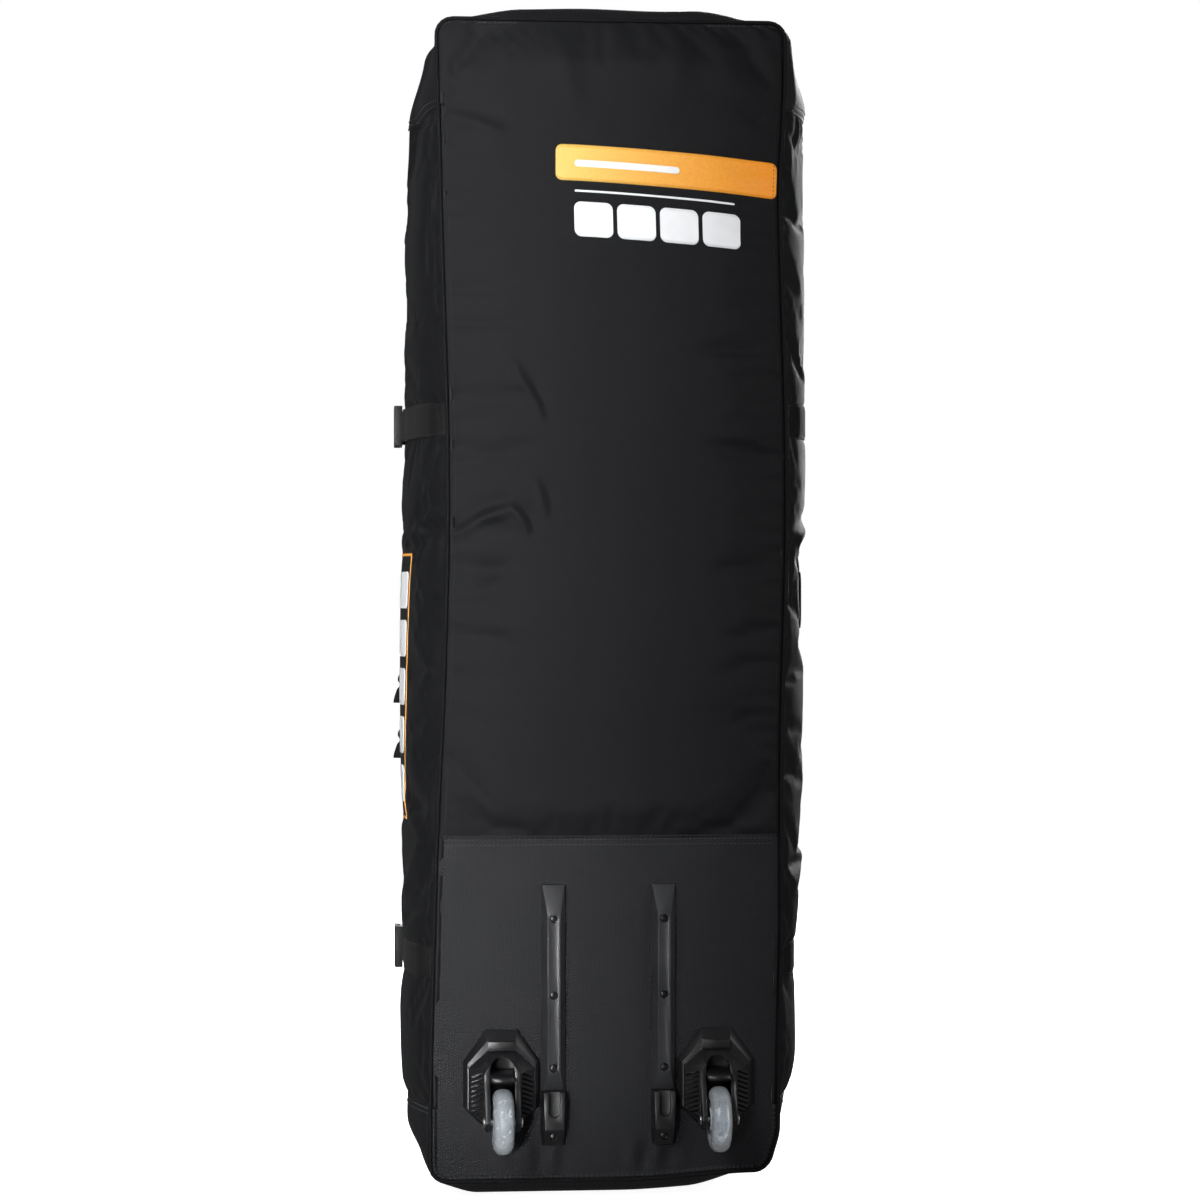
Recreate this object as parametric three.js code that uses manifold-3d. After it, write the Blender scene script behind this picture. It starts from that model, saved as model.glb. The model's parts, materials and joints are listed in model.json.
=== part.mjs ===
// A wheeled, soft-sided golf travel case, standing on its wheel end.
// Millimetres. +Z runs up the length, -Y is the back with the wheels and skid rails, +Y is the lid.
// The origin is the centre of the flat standing face. Left is -X, as seen from behind the case.
import * as THREE from "three";
import { mergeVertices } from "three/addons/utils/BufferGeometryUtils.js";
import Module from "manifold-3d";

const wasm = await Module();
wasm.setup();

// ---------------------------------------------------------------- driving dimensions

const GAP = 0.4; // clear space between pieces that touch
const CASE = { length: 1400, seamWidth: 396, depth: 300, wall: 9, corner: 18 };
const CROWN = { side: 40, sideFade: 12, end: 24, endRise: 0.4 }; // how far the soft walls swell
const PINCH = { share: 0.3, reach: 100 }; // how much of the crown is left at a corner, and how near
const SEAM_Z = { lowerPanel: 425, bottomCorner: 108, topCorner: 1277 };

const ZIP = { centre: 85, tape: 12, split: 1.6, coil: 3.6, tapeThick: 1.2, coilThick: 3.4, sunk: 3.6 };
const HINGE = { y: 97.8 };
const STRAP = { width: 40, thick: 2, lift: 1, upperZ: 913, lowerZ: 275 };
const BUCKLE = { thick: 9.5, halfWidth: 25, socket: 36, base: 23, prong: 15, rearY: 60 };

const WHEEL = { x: 125.5, z: 98.5, out: 42, r: 38, width: 24, hubR: 22, well: 41, channel: 14.5 };
const BEARING = { r: 11, bore: 4, width: 7 };
const AXLE = { r: 3.8, headR: 6.5, headThick: 2.4, armThick: 5.5 };

const RAIL = { x: 64.5, top: 368, bottom: 129, base: 28, crest: 15, height: 15 };
const RAIL_SCREWS = [329, 240.5, 156];
const FOOT = { top: 128, bottom: 65, base: 30, height: 24, screw: 75.5 };
const SCREW = { headR: 4, headThick: 2.6, shankR: 1.9, length: 21, recessR: 5, sink: 4 };
const BOARD = { halfWidth: 178, bottom: 55, top: 432, thick: 3, corner: 30 };

const SLIDER = { upperZ: 628, lowerZ: 560, halfWidth: 6.5, halfLength: 9, plate: 1.8, bridge: 8.4 };
const PULL = { length: 56, width: 12, thick: 2.4, ring: 15 };
const SIDE_HANDLE = { y: 0, z: 700, half: 78, rise: 8, width: 26, endWidth: 6, thick: 2.6 };
const TOP_HANDLE = { y: 20, half: 80, rise: 9, width: 28, endWidth: 6, thick: 2.6 };
const GRIP = { half: 34, thick: 3.2, extra: 3 };

// ---------------------------------------------------------------- values worked out from them

const HALF_WIDTH = CASE.seamWidth / 2;
const BACK = -CASE.depth / 2; // the back's outer face
const FRONT = CASE.depth / 2; // the lid's outer face
const BAND = CASE.depth / 2 - CASE.wall - GAP; // the side walls run from -BAND to BAND
const SEAM_LOW = CROWN.end;
const SEAM_HIGH = CASE.length - CROWN.end;
const MID_Z = CASE.length / 2;
const BODY_EDGE = ZIP.centre - ZIP.split / 2 - ZIP.tape; // where the walls stop at the zip
const LID_EDGE = ZIP.centre + ZIP.split / 2 + ZIP.tape; // where the lid's lip starts

const END_LIMIT = HALF_WIDTH - CASE.corner; // how far from the middle an end wall runs

const degrees = THREE.MathUtils.degToRad;
const lerp = THREE.MathUtils.lerp;
const smooth = (t) => t * t * (3 - 2 * t);

// ---------------------------------------------------------------- materials

const finish = (color, roughness, metalness = 0) =>
  new THREE.MeshStandardMaterial({ color, roughness, metalness });
const MATERIAL = {
  polyester: finish(0x1b1c20, 0.75),
  tarpaulin: finish(0x2b2c30, 0.55),
  webbing: finish(0x151515, 0.85),
  plastic: finish(0x121214, 0.45),
  board: finish(0x202124, 0.6),
  tyre: finish(0xa8b2ba, 0.25),
  hub: finish(0x8d969d, 0.35),
  steel: finish(0xb8bbc0, 0.3, 1),
  blackSteel: finish(0x17181a, 0.4, 0.8),
  zip: finish(0x141416, 0.7),
};

// ---------------------------------------------------------------- solids

const root = new THREE.Group();

function addMesh(name, geometry, material, parent = root) {
  const mesh = new THREE.Mesh(geometry, material);
  mesh.name = name;
  parent.add(mesh);
  return mesh;
}

function addGroup(x, y, z, turnZ = 0) {
  const group = new THREE.Group();
  group.position.set(x, y, z);
  group.rotation.z = turnZ;
  root.add(group);
  return group;
}

// A closed geometry from points and triangles, turned outwards if it was built inside out.
function closedGeometry(points, triangles) {
  const [a, b, c] = [new THREE.Vector3(), new THREE.Vector3(), new THREE.Vector3()];
  let volume = 0;
  for (const [i, j, k] of triangles) {
    a.copy(points[i]);
    volume += a.dot(b.copy(points[j]).cross(c.copy(points[k])));
  }
  const ordered = volume < 0 ? triangles.map(([i, j, k]) => [i, k, j]) : triangles;
  const geometry = new THREE.BufferGeometry().setFromPoints(points);
  geometry.setIndex(ordered.flat());
  return geometry;
}

// Joins rings of equally many points into one solid. The rings' points pair up across their
// width, first with last, second with last but one, and so on, which is how the ends are closed.
function loft(rings, loop = false) {
  const n = rings[0].length;
  const triangles = [];
  const spans = loop ? rings.length : rings.length - 1;
  for (let i = 0; i < spans; i += 1) {
    const here = i * n;
    const next = ((i + 1) % rings.length) * n;
    for (let j = 0; j < n; j += 1) {
      const k = (j + 1) % n;
      triangles.push([here + j, next + j, next + k], [here + j, next + k, here + k]);
    }
  }
  const last = (rings.length - 1) * n;
  for (let j = 0; !loop && j < n / 2 - 1; j += 1) {
    const [a, b, c, d] = [j, j + 1, n - 2 - j, n - 1 - j];
    triangles.push([a, b, c], [a, c, d], [last + a, last + c, last + b], [last + a, last + d, last + c]);
  }
  return closedGeometry(rings.flat(), triangles);
}

function toSolid(geometry) {
  const bare = geometry.clone();
  bare.deleteAttribute("normal");
  bare.deleteAttribute("uv");
  const merged = mergeVertices(bare, 1e-4);
  return new wasm.Manifold(
    new wasm.Mesh({
      numProp: 3,
      vertProperties: merged.attributes.position.array,
      triVerts: new Uint32Array(merged.index.array),
    }),
  );
}

function toGeometry(solid) {
  const mesh = solid.getMesh();
  const geometry = new THREE.BufferGeometry();
  geometry.setAttribute("position", new THREE.BufferAttribute(mesh.vertProperties, 3));
  geometry.setIndex(new THREE.BufferAttribute(mesh.triVerts, 1));
  return geometry;
}

const cut = (geometry, ...tools) =>
  toGeometry(tools.reduce((solid, tool) => solid.subtract(toSolid(tool)), toSolid(geometry)));
const join = (geometry, ...others) =>
  toGeometry(others.reduce((solid, other) => solid.add(toSolid(other)), toSolid(geometry)));

// A box between two corners.
function box(low, high) {
  const size = high.map((value, i) => value - low[i]);
  const middle = high.map((value, i) => (value + low[i]) / 2);
  return new THREE.BoxGeometry(...size).translate(...middle);
}

const rodX = (r, length, sides = 24) =>
  new THREE.CylinderGeometry(r, r, length, sides).rotateZ(Math.PI / 2);
const rodY = (r, length, sides = 16) => new THREE.CylinderGeometry(r, r, length, sides);

// A flat outline in X and Z, extruded from y = front to y = back.
function plate(shape, yLow, yHigh) {
  const options = { depth: yHigh - yLow, bevelEnabled: false, curveSegments: 5 };
  return new THREE.ExtrudeGeometry(shape, options).rotateX(Math.PI / 2).translate(0, yHigh, 0);
}

// A flat outline in Y and Z, extruded over x from -half to half.
function slab(points, half) {
  const shape = new THREE.Shape(points.map(([y, z]) => new THREE.Vector2(y, z)));
  return new THREE.ExtrudeGeometry(shape, { depth: 2 * half, bevelEnabled: false })
    .rotateY(Math.PI / 2)
    .rotateX(Math.PI / 2)
    .translate(-half, 0, 0);
}

// ---------------------------------------------------------------- the soft walls

// A station is a place on the seam outline: its point, its outward direction, and how far it
// has turned from a side wall (0) to an end wall (1).
const sideStation = (side, z) => ({ x: side * HALF_WIDTH, z, nx: side, nz: 0, end: 0 });
const endStation = (end, x) => ({ x, z: end > 0 ? SEAM_HIGH : SEAM_LOW, nx: 0, nz: end, end: 1 });

function cornerStations(side, end, steps = 6) {
  const r = CASE.corner;
  const centre = {
    x: side * (HALF_WIDTH - r),
    z: end > 0 ? SEAM_HIGH - r : SEAM_LOW + r,
  };
  return Array.from({ length: steps + 1 }, (_, i) => {
    const angle = (i / steps) * (Math.PI / 2);
    const [nx, nz] = [side * Math.cos(angle), end * Math.sin(angle)];
    return { x: centre.x + r * nx, z: centre.z + r * nz, nx, nz, end: smooth(i / steps) };
  });
}

// Where the walls need stations: close together near a corner, and further apart away from it.
const cornerSteps = [0.18, 0.34, 0.5, 0.67, 0.84, 1].map((share) => share * PINCH.reach);
const sideHeights = [
  ...cornerSteps.map((d) => SEAM_LOW + d),
  ...[0.12, 0.2, 0.32, 0.5, 0.68, 0.78, 0.85].map((t) => t * CASE.length),
  ...cornerSteps.map((d) => SEAM_HIGH - d).reverse(),
];
const endPlaces = [
  ...cornerSteps.map((d) => d - HALF_WIDTH),
  0,
  ...cornerSteps.map((d) => HALF_WIDTH - d).reverse(),
];

function sideRun(side, zLow, zHigh) {
  const between = sideHeights.filter((z) => z > zLow + GAP && z < zHigh - GAP);
  return [zLow, ...between, zHigh].map((z) => sideStation(side, z));
}

function endRun(end, reach) {
  const between = endPlaces.filter((x) => Math.abs(x) < reach - GAP);
  return [-reach, ...between, reach].map((x) => endStation(end, x));
}

// How much of the crown is left at a station: the walls are drawn in at the outline's corners.
function pinchAt({ x, z }) {
  const distance = Math.max(HALF_WIDTH - Math.abs(x), Math.min(SEAM_HIGH - z, z - SEAM_LOW));
  return lerp(PINCH.share, 1, smooth(Math.min(1, distance / PINCH.reach)));
}

// How far the soft wall stands out from the seam outline at a depth y.
function crownAt(station, y) {
  const across = Math.min(1, Math.abs(y) / BAND);
  const fade = CROWN.sideFade * ((station.z - MID_Z) / MID_Z) ** 6;
  const side = (CROWN.side - fade) * (1 - across * across);
  const end = CROWN.end * smooth(Math.min(1, (1 - across) / CROWN.endRise));
  return pinchAt(station) * lerp(side, end, station.end);
}

const sideSurface = (z, y) => HALF_WIDTH + crownAt(sideStation(1, z), y);
const sideSlope = (z, y) => Math.atan((sideSurface(z, y - 5) - sideSurface(z, y + 5)) / 10);

// A cross-section in depth and height off the wall's outer face, from yLow to yHigh.
function wallSection(yLow, yHigh, outer, inner, steps) {
  const depths = Array.from({ length: steps + 1 }, (_, i) => lerp(yLow, yHigh, i / steps));
  return [...depths.map((y) => [y, outer]), ...depths.reverse().map((y) => [y, inner])];
}

function sweepWall(stations, section, loop = false) {
  const rings = stations.map((s) =>
    section.map(([y, off]) => {
      const out = crownAt(s, y) + off;
      return new THREE.Vector3(s.x + s.nx * out, y, s.z + s.nz * out);
    }),
  );
  return loft(rings, loop);
}

const WALL_STEPS = 8;
const bodySection = wallSection(-BAND, BODY_EDGE, 0, -CASE.wall, WALL_STEPS);
const hingeSection = wallSection(-BAND, HINGE.y - GAP, 0, -CASE.wall, WALL_STEPS);

function addSideWall(name, side, section) {
  const stations = sideRun(side, SEAM_Z.bottomCorner + GAP, SEAM_Z.topCorner - GAP);
  addMesh(name, sweepWall(stations, section), MATERIAL.polyester);
}

function addCornerWall(name, side, end, section) {
  const run =
    end > 0
      ? sideRun(side, SEAM_Z.topCorner, SEAM_HIGH - CASE.corner)
      : sideRun(side, SEAM_LOW + CASE.corner, SEAM_Z.bottomCorner).reverse();
  const stations = [...run, ...cornerStations(side, end).slice(1)];
  addMesh(name, sweepWall(stations, section), MATERIAL.tarpaulin);
}

function addEndWall(name, end) {
  addMesh(name, sweepWall(endRun(end, END_LIMIT - GAP), bodySection), MATERIAL.tarpaulin);
}

// The outline of the back or lid between two heights, rounded where it meets an end wall.
function panelShape(zLow, zHigh, rLow, rHigh) {
  const shape = new THREE.Shape();
  shape.moveTo(-HALF_WIDTH + rLow, zLow);
  shape.lineTo(HALF_WIDTH - rLow, zLow);
  if (rLow) shape.absarc(HALF_WIDTH - rLow, zLow + rLow, rLow, -Math.PI / 2, 0, false);
  shape.lineTo(HALF_WIDTH, zHigh - rHigh);
  if (rHigh) shape.absarc(HALF_WIDTH - rHigh, zHigh - rHigh, rHigh, 0, Math.PI / 2, false);
  shape.lineTo(-HALF_WIDTH + rHigh, zHigh);
  if (rHigh) shape.absarc(-HALF_WIDTH + rHigh, zHigh - rHigh, rHigh, Math.PI / 2, Math.PI, false);
  shape.lineTo(-HALF_WIDTH, zLow + rLow);
  if (rLow) shape.absarc(-HALF_WIDTH + rLow, zLow + rLow, rLow, Math.PI, 1.5 * Math.PI, false);
  return shape;
}

const screwPlaces = [-1, 1].flatMap((side) =>
  [...RAIL_SCREWS, FOOT.screw].map((z) => ({ x: side * RAIL.x, z })),
);

function addHoles(shape, r) {
  for (const { x, z } of screwPlaces) {
    shape.holes.push(new THREE.Path().absarc(x, z, r, 0, 2 * Math.PI, true));
  }
  return shape;
}

function buildBack() {
  const upper = panelShape(SEAM_Z.lowerPanel + GAP, SEAM_HIGH, 0, CASE.corner);
  const lower = panelShape(SEAM_LOW, SEAM_Z.lowerPanel, CASE.corner, 0);
  addHoles(lower, SCREW.shankR + GAP);
  addMesh("back_panel", plate(upper, BACK, BACK + CASE.wall), MATERIAL.polyester);
  addMesh("lower_back_panel", plate(lower, BACK, BACK + CASE.wall), MATERIAL.tarpaulin);
}

function buildWalls() {
  addSideWall("left_gusset", -1, bodySection);
  addSideWall("right_gusset", 1, hingeSection);
  addCornerWall("top_left_corner_panel", -1, 1, bodySection);
  addCornerWall("top_right_corner_panel", 1, 1, hingeSection);
  addCornerWall("bottom_left_corner_panel", -1, -1, bodySection);
  addCornerWall("bottom_right_corner_panel", 1, -1, hingeSection);
  addEndWall("top_end_panel", 1);
  addEndWall("bottom_end_panel", -1);
}

function buildBaseBoard() {
  const { halfWidth: w, bottom, top, corner: r } = BOARD;
  const shape = new THREE.Shape()
    .moveTo(-w + r, bottom)
    .lineTo(w - r, bottom)
    .absarc(w - r, bottom + r, r, -Math.PI / 2, 0, false)
    .lineTo(w, top)
    .lineTo(-w, top)
    .absarc(-w + r, bottom + r, r, Math.PI, 1.5 * Math.PI, false);
  const inside = BACK + CASE.wall + GAP;
  const board = plate(addHoles(shape, SCREW.shankR + GAP), inside, inside + BOARD.thick);
  addMesh("base_board", board, MATERIAL.board);
}

function buildLid() {
  const outline = panelShape(SEAM_LOW, SEAM_HIGH, CASE.corner, CASE.corner);
  addMesh("lid_panel", plate(outline, FRONT - CASE.wall, FRONT), MATERIAL.polyester);
  const round = (side, end) => {
    const corner = cornerStations(side, end);
    return side === end ? corner : corner.reverse();
  };
  const sides = [SEAM_LOW + CASE.corner + GAP, SEAM_HIGH - CASE.corner - GAP];
  const ring = [
    ...round(-1, -1),
    ...endRun(-1, END_LIMIT - GAP),
    ...round(1, -1),
    ...sideRun(1, ...sides),
    ...round(1, 1),
    ...endRun(1, END_LIMIT - GAP).reverse(),
    ...round(-1, 1),
    ...sideRun(-1, ...sides).reverse(),
  ];
  const lip = wallSection(LID_EDGE + GAP, BAND, 0, -CASE.wall, 2);
  addMesh("lid_lip", sweepWall(ring, lip, true), MATERIAL.polyester);
}

// Half of the main zip: a tape with a coil ridge along its inner edge.
function buildZip() {
  const sides = [SEAM_LOW + CASE.corner + GAP, SEAM_HIGH - CASE.corner - GAP];
  const path = [
    ...endRun(-1, END_LIMIT - GAP).reverse(),
    ...cornerStations(-1, -1).reverse(),
    ...sideRun(-1, ...sides),
    ...cornerStations(-1, 1),
    ...endRun(1, END_LIMIT - GAP),
  ];
  const half = (direction) => {
    const edge = ZIP.centre + (direction * ZIP.split) / 2;
    const y = (distance) => edge + direction * distance;
    return [
      [y(ZIP.coil), -ZIP.sunk + ZIP.coilThick],
      [y(ZIP.coil), -ZIP.sunk + ZIP.tapeThick],
      [y(ZIP.tape - GAP), -ZIP.sunk + ZIP.tapeThick],
      [y(ZIP.tape - GAP), -ZIP.sunk],
      [y(0), -ZIP.sunk],
      [y(0), -ZIP.sunk + ZIP.coilThick],
    ];
  };
  addMesh("zip_body_half", sweepWall(path, half(-1)), MATERIAL.zip);
  addMesh("zip_lid_half", sweepWall(path, half(1)), MATERIAL.zip);
}

// ---------------------------------------------------------------- zip sliders and their pulls

// In a slider's group +X points squarely out of the wall and Z runs along the zip.
const sliderGroup = (z) =>
  addGroup(-sideSurface(z, ZIP.centre), ZIP.centre, z, Math.PI - sideSlope(z, ZIP.centre));

function buildSlider(name, z) {
  const { halfWidth: w, halfLength: l, plate: t, bridge } = SLIDER;
  const plateLow = 1.4;
  const plateTop = plateLow + t;
  const top = box([plateLow, -w, -l], [plateTop, w, l]);
  const bottom = box([-ZIP.sunk - 2.4, -w, -l], [-ZIP.sunk - 0.9, w, l]);
  // The post runs straight into the case, along the split between the tapes.
  const post = box([-ZIP.sunk - 1.4, -0.4, -2], [plateLow + 0.4, 0.4, 2]);
  post.rotateZ(sideSlope(z, ZIP.centre));
  const bridgeOutline = box([plateTop - 0.1, -1.5, -7], [bridge, 1.5, 7]);
  const bridgeHole = box([plateTop, -2, -4.6], [bridge - 1.7, 2, 4.6]);
  const body = cut(join(top, bottom, post, bridgeOutline), bridgeHole);
  addMesh(`${name}_zip_slider`, body, MATERIAL.blackSteel, sliderGroup(z));
}

function buildPull(name, z) {
  const bar = 0.7;
  const out = 5;
  const side = 4.2;
  const ring = cut(
    box([out - bar, -side - 1.6, -PULL.ring], [out + bar, side + 1.6, bar]),
    box([out - 2, -side, -PULL.ring + 1.6], [out + 2, side, -bar]),
  );
  const half = { y: PULL.width / 2, x: PULL.thick / 2 };
  const tape = box([out - half.x, -half.y, -PULL.length], [out + half.x, half.y, -PULL.ring + 0.8]);
  addMesh(`${name}_zip_pull`, join(ring, tape), MATERIAL.webbing, sliderGroup(z));
}

// ---------------------------------------------------------------- compression straps

const strapSpan = (z) => [z - STRAP.width / 2, z + STRAP.width / 2];

function buildStrapTab(name, side, z, yEnd) {
  const stations = strapSpan(z).map((height) => sideStation(side, height));
  const section = wallSection(-BAND + 2, yEnd, STRAP.lift + STRAP.thick, STRAP.lift, 10);
  addMesh(name, sweepWall(stations, section), MATERIAL.webbing);
}

// In a buckle's group +Y is the way the plug leaves and -X is outwards.
function bucklePlace(z) {
  const out = sideSurface(z, BUCKLE.rearY) + STRAP.lift + STRAP.thick + GAP;
  return { x: -out, y: BUCKLE.rearY };
}

const buckleGroup = (z) => addGroup(bucklePlace(z).x, BUCKLE.rearY, z);

function buildBuckle(name, z) {
  const { thick: t, halfWidth: w, socket: length, base, prong } = BUCKLE;
  const shell = box([-t, 0, -w], [0, length, w]);
  const cavity = box([-t + 1.4, 9, -w + 4], [-1.4, length + 1, w - 4]);
  const windows = box([-t + 2.4, 14, -w - 1], [-2.4, length - 6, w + 1]);
  const barSlot = box([-t - 1, 3.5, -w + 4.5], [1, 6.5, w - 4.5]);
  const socket = cut(shell, cavity, windows, barSlot);
  addMesh(`${name}_buckle_socket`, socket, MATERIAL.plastic, buckleGroup(z));

  const start = length + GAP;
  const body = box([-t + 1.2, start, -w + 1], [-1.2, start + base, w - 1]);
  const slots = [7, 14.5].map((y) =>
    box([-t - 1, start + y, -w + 4.5], [1, start + y + 3.4, w - 4.5]),
  );
  const middle = -t / 2;
  const fingers = [
    [-18.5, -14.5, prong],
    [-3, 3, prong - 3],
    [14.5, 18.5, prong],
  ].map(([zLow, zHigh, reach]) =>
    box([middle - 1.2, start - reach, zLow], [middle + 1.2, start + 1, zHigh]),
  );
  const plug = join(cut(body, ...slots), ...fingers);
  addMesh(`${name}_buckle_plug`, plug, MATERIAL.plastic, buckleGroup(z));
}

// The long webbing that lies across the lid, from the buckle to the hinge side.
function buildStrap(name, z) {
  const place = bucklePlace(z);
  const corner = HALF_WIDTH + GAP;
  const face = FRONT + GAP;
  const lipSteps = [0.8, 0.4, 0].map((t) => lerp(LID_EDGE + 2 * GAP, BAND, t));
  const inner = [
    [place.x - BUCKLE.thick / 2, place.y + BUCKLE.socket + BUCKLE.base + 2 * GAP],
    [-corner, face],
    [corner, face],
    ...lipSteps.map((y) => [sideSurface(z, y) + STRAP.lift, y]),
  ].map(([x, y]) => new THREE.Vector2(x, y));
  const outer = inner.map((point, i) => {
    const before = inner[Math.max(0, i - 1)];
    const after = inner[Math.min(inner.length - 1, i + 1)];
    const way = after.clone().sub(before).normalize();
    return point.clone().add(new THREE.Vector2(-way.y, way.x).multiplyScalar(STRAP.thick));
  });
  const outline = new THREE.Shape([...inner, ...outer.reverse()]);
  const options = { depth: STRAP.width, bevelEnabled: false };
  const strap = new THREE.ExtrudeGeometry(outline, options).translate(0, 0, strapSpan(z)[0]);
  addMesh(`${name}_strap`, strap, MATERIAL.webbing);
}

function buildStraps() {
  for (const [name, z] of [["upper", STRAP.upperZ], ["lower", STRAP.lowerZ]]) {
    buildStrapTab(`${name}_strap_left_tab`, -1, z, BUCKLE.rearY + 6);
    buildStrapTab(`${name}_strap_right_tab`, 1, z, HINGE.y - GAP);
    buildBuckle(name, z);
    buildStrap(name, z);
  }
}

// Flat tie-down webbing sewn inside the back, which holds the golf bag.
function buildInnerStraps() {
  const inside = BACK + CASE.wall + GAP;
  for (const [name, z] of [["upper", 1010], ["lower", 560]]) {
    const reach = HALF_WIDTH - CASE.wall - 12;
    const [low, high] = strapSpan(z);
    const webbing = box([-reach, inside, low], [reach, inside + STRAP.thick, high]);
    addMesh(`${name}_inner_strap`, webbing, MATERIAL.webbing);
  }
}

// ---------------------------------------------------------------- wheels

// In a wheel unit's group the origin is on the back's face, at the axle's height.
const wheelGroup = (side) => addGroup(side * WHEEL.x, BACK - GAP, WHEEL.z);

// A coffin-shaped outline in X and Z: a straight-sided middle with cut corners.
function coffin(half, top, shoulder, waist, foot, topHalf, footHalf, y) {
  return [
    [topHalf, top], [half, shoulder], [half, waist], [footHalf, foot],
    [-footHalf, foot], [-half, waist], [-half, shoulder], [-topHalf, top],
  ].map(([x, z]) => new THREE.Vector3(x, y, z));
}

// The room that the wheel turns in, open at the bottom and outwards.
function wheelRoom(floor) {
  const around = rodX(WHEEL.well, 2 * WHEEL.channel).translate(0, -WHEEL.out, 0);
  const throat = box([-WHEEL.channel, -90, -60], [WHEEL.channel, floor, 58]);
  const crown = rodY(WHEEL.channel, 90 + floor, 12).translate(0, (floor - 90) / 2, 58);
  return [around, throat, crown];
}

function buildHousing(name, side) {
  const flange = loft([
    coffin(44.5, 101, 65, 12, -16, 18.5, 15, 0),
    coffin(44.5, 101, 65, 12, -16, 18.5, 15, -3),
    coffin(39.5, 89, 63, 11, -12, 16.5, 14, -12),
  ]);
  const clip = box([-15.5, -16.5, 80], [15.5, -8, 89]);
  const body = cut(join(flange, clip), ...wheelRoom(-5));
  addMesh(`${name}_wheel_housing`, body, MATERIAL.plastic, wheelGroup(side));
}

function vents() {
  const slots = [];
  for (const side of [-1, 1]) {
    for (let i = 0; i < 9; i += 1) {
      const slot = new THREE.BoxGeometry(15, 40, 2.2);
      slot.rotateY((side * Math.PI) / 7).translate(side * 29.5, -20, 6 + i * 5.6);
      slots.push(slot);
    }
  }
  return slots;
}

function buildCover(name, side) {
  const base = -12 - GAP;
  const crest = -33;
  const outer = loft([
    coffin(38, 78, 59, 9, -9, 17, 15, base),
    coffin(37, 77, 58, 9, -9, 17, 15, base - 3),
    coffin(20.5, 62, 54, 2, -8, 15, 15, crest),
  ]);
  const hollow = loft([
    coffin(35.5, 75, 57, 10, -6, 15, 13, base + 1),
    coffin(34.5, 74, 56, 10, -6, 15, 13, base - 2),
    coffin(18, 59, 52, 4, -5, 13, 13, crest + 2.5),
  ]);
  const armOutline = [
    [base, 68], [-25, 66], [-40, 30], [-51, 8], [-53, 0], [-50, -8], [-42, -12], [-30, -13],
    [base, -9],
  ];
  const arm = slab(armOutline, AXLE.armThick / 2);
  const arms = [-1, 1].map((hand) =>
    arm.clone().translate(hand * (WHEEL.channel + AXLE.armThick / 2), 0, 0),
  );
  const axleHole = rodX(AXLE.r + 0.3, 80).translate(0, -WHEEL.out, 0);
  const shell = cut(join(cut(outer, hollow), ...arms), ...wheelRoom(0), ...vents(), axleHole);
  addMesh(`${name}_wheel_cover`, shell, MATERIAL.plastic, wheelGroup(side));
}

function lathe(profile, sides) {
  const points = profile.map(([r, x]) => new THREE.Vector2(r, x));
  points.push(points[0].clone());
  return new THREE.LatheGeometry(points, sides).rotateZ(-Math.PI / 2);
}

// A ring between two radii, over x from -half to half.
const ring = (inner, outer, half, sides = 24) =>
  lathe([[inner, -half], [outer, -half], [outer, half], [inner, half]], sides);

function buildWheel(name, side) {
  const half = WHEEL.width / 2;
  const place = (geometry, x = 0) => geometry.translate(x, -WHEEL.out, 0);
  const crown = Array.from({ length: 7 }, (_, i) => {
    const angle = lerp(-Math.PI / 2, Math.PI / 2, i / 6);
    return [lerp(27, WHEEL.r, Math.cos(angle)), half * Math.sin(angle)];
  });
  const tyre = lathe([[WHEEL.hubR, -9], ...crown, [WHEEL.hubR, 9]], 28);
  addMesh(`${name}_tyre`, place(tyre), MATERIAL.tyre, wheelGroup(side));

  const bearingOut = half - 0.5;
  const windows = Array.from({ length: 5 }, (_, i) => {
    const angle = (2 * Math.PI * i) / 5;
    return rodX(2.6, 40, 8).translate(0, 15.8 * Math.cos(angle), 15.8 * Math.sin(angle));
  });
  const rim = join(
    ring(18.8, WHEEL.hubR - 0.3, 8.5),
    ring(BEARING.r + 0.3, 13.4, half - 0.5),
    ring(12.5, 19.5, 2),
  );
  addMesh(`${name}_hub`, place(cut(rim, ...windows)), MATERIAL.hub, wheelGroup(side));
  for (const [where, hand] of [["inner", -side], ["outer", side]]) {
    const bearing = ring(BEARING.bore, BEARING.r, BEARING.width / 2);
    const x = hand * (bearingOut - BEARING.width / 2);
    addMesh(`${name}_${where}_bearing`, place(bearing, x), MATERIAL.steel, wheelGroup(side));
  }

  const reach = WHEEL.channel + AXLE.armThick + GAP;
  const heads = [-1, 1].map((hand) =>
    rodX(AXLE.headR, AXLE.headThick, 16).translate(hand * (reach + AXLE.headThick / 2), 0, 0),
  );
  const axle = join(rodX(AXLE.r, 2 * reach + 1), ...heads);
  addMesh(`${name}_axle`, place(axle), MATERIAL.steel, wheelGroup(side));
}

// ---------------------------------------------------------------- skid rails and feet

// A ridge along Z, from sections of [z, base half-width, crest half-width, height].
function ridge(sections) {
  const rings = sections.map(([z, base, crest, height]) =>
    [[-base, 0], [base, 0], [base, -3], [crest, -height], [-crest, -height], [-base, -3]].map(
      ([x, y]) => new THREE.Vector3(x, y, z),
    ),
  );
  return loft(rings);
}

// The hole for a screw whose head sits below a crest of that height.
function screwHole(z, height) {
  const floor = height - SCREW.sink - SCREW.headThick;
  return [
    rodY(SCREW.recessR, 20).translate(0, -floor - 10, z),
    rodY(SCREW.shankR + GAP, 60).translate(0, 0, z),
  ];
}

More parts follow.
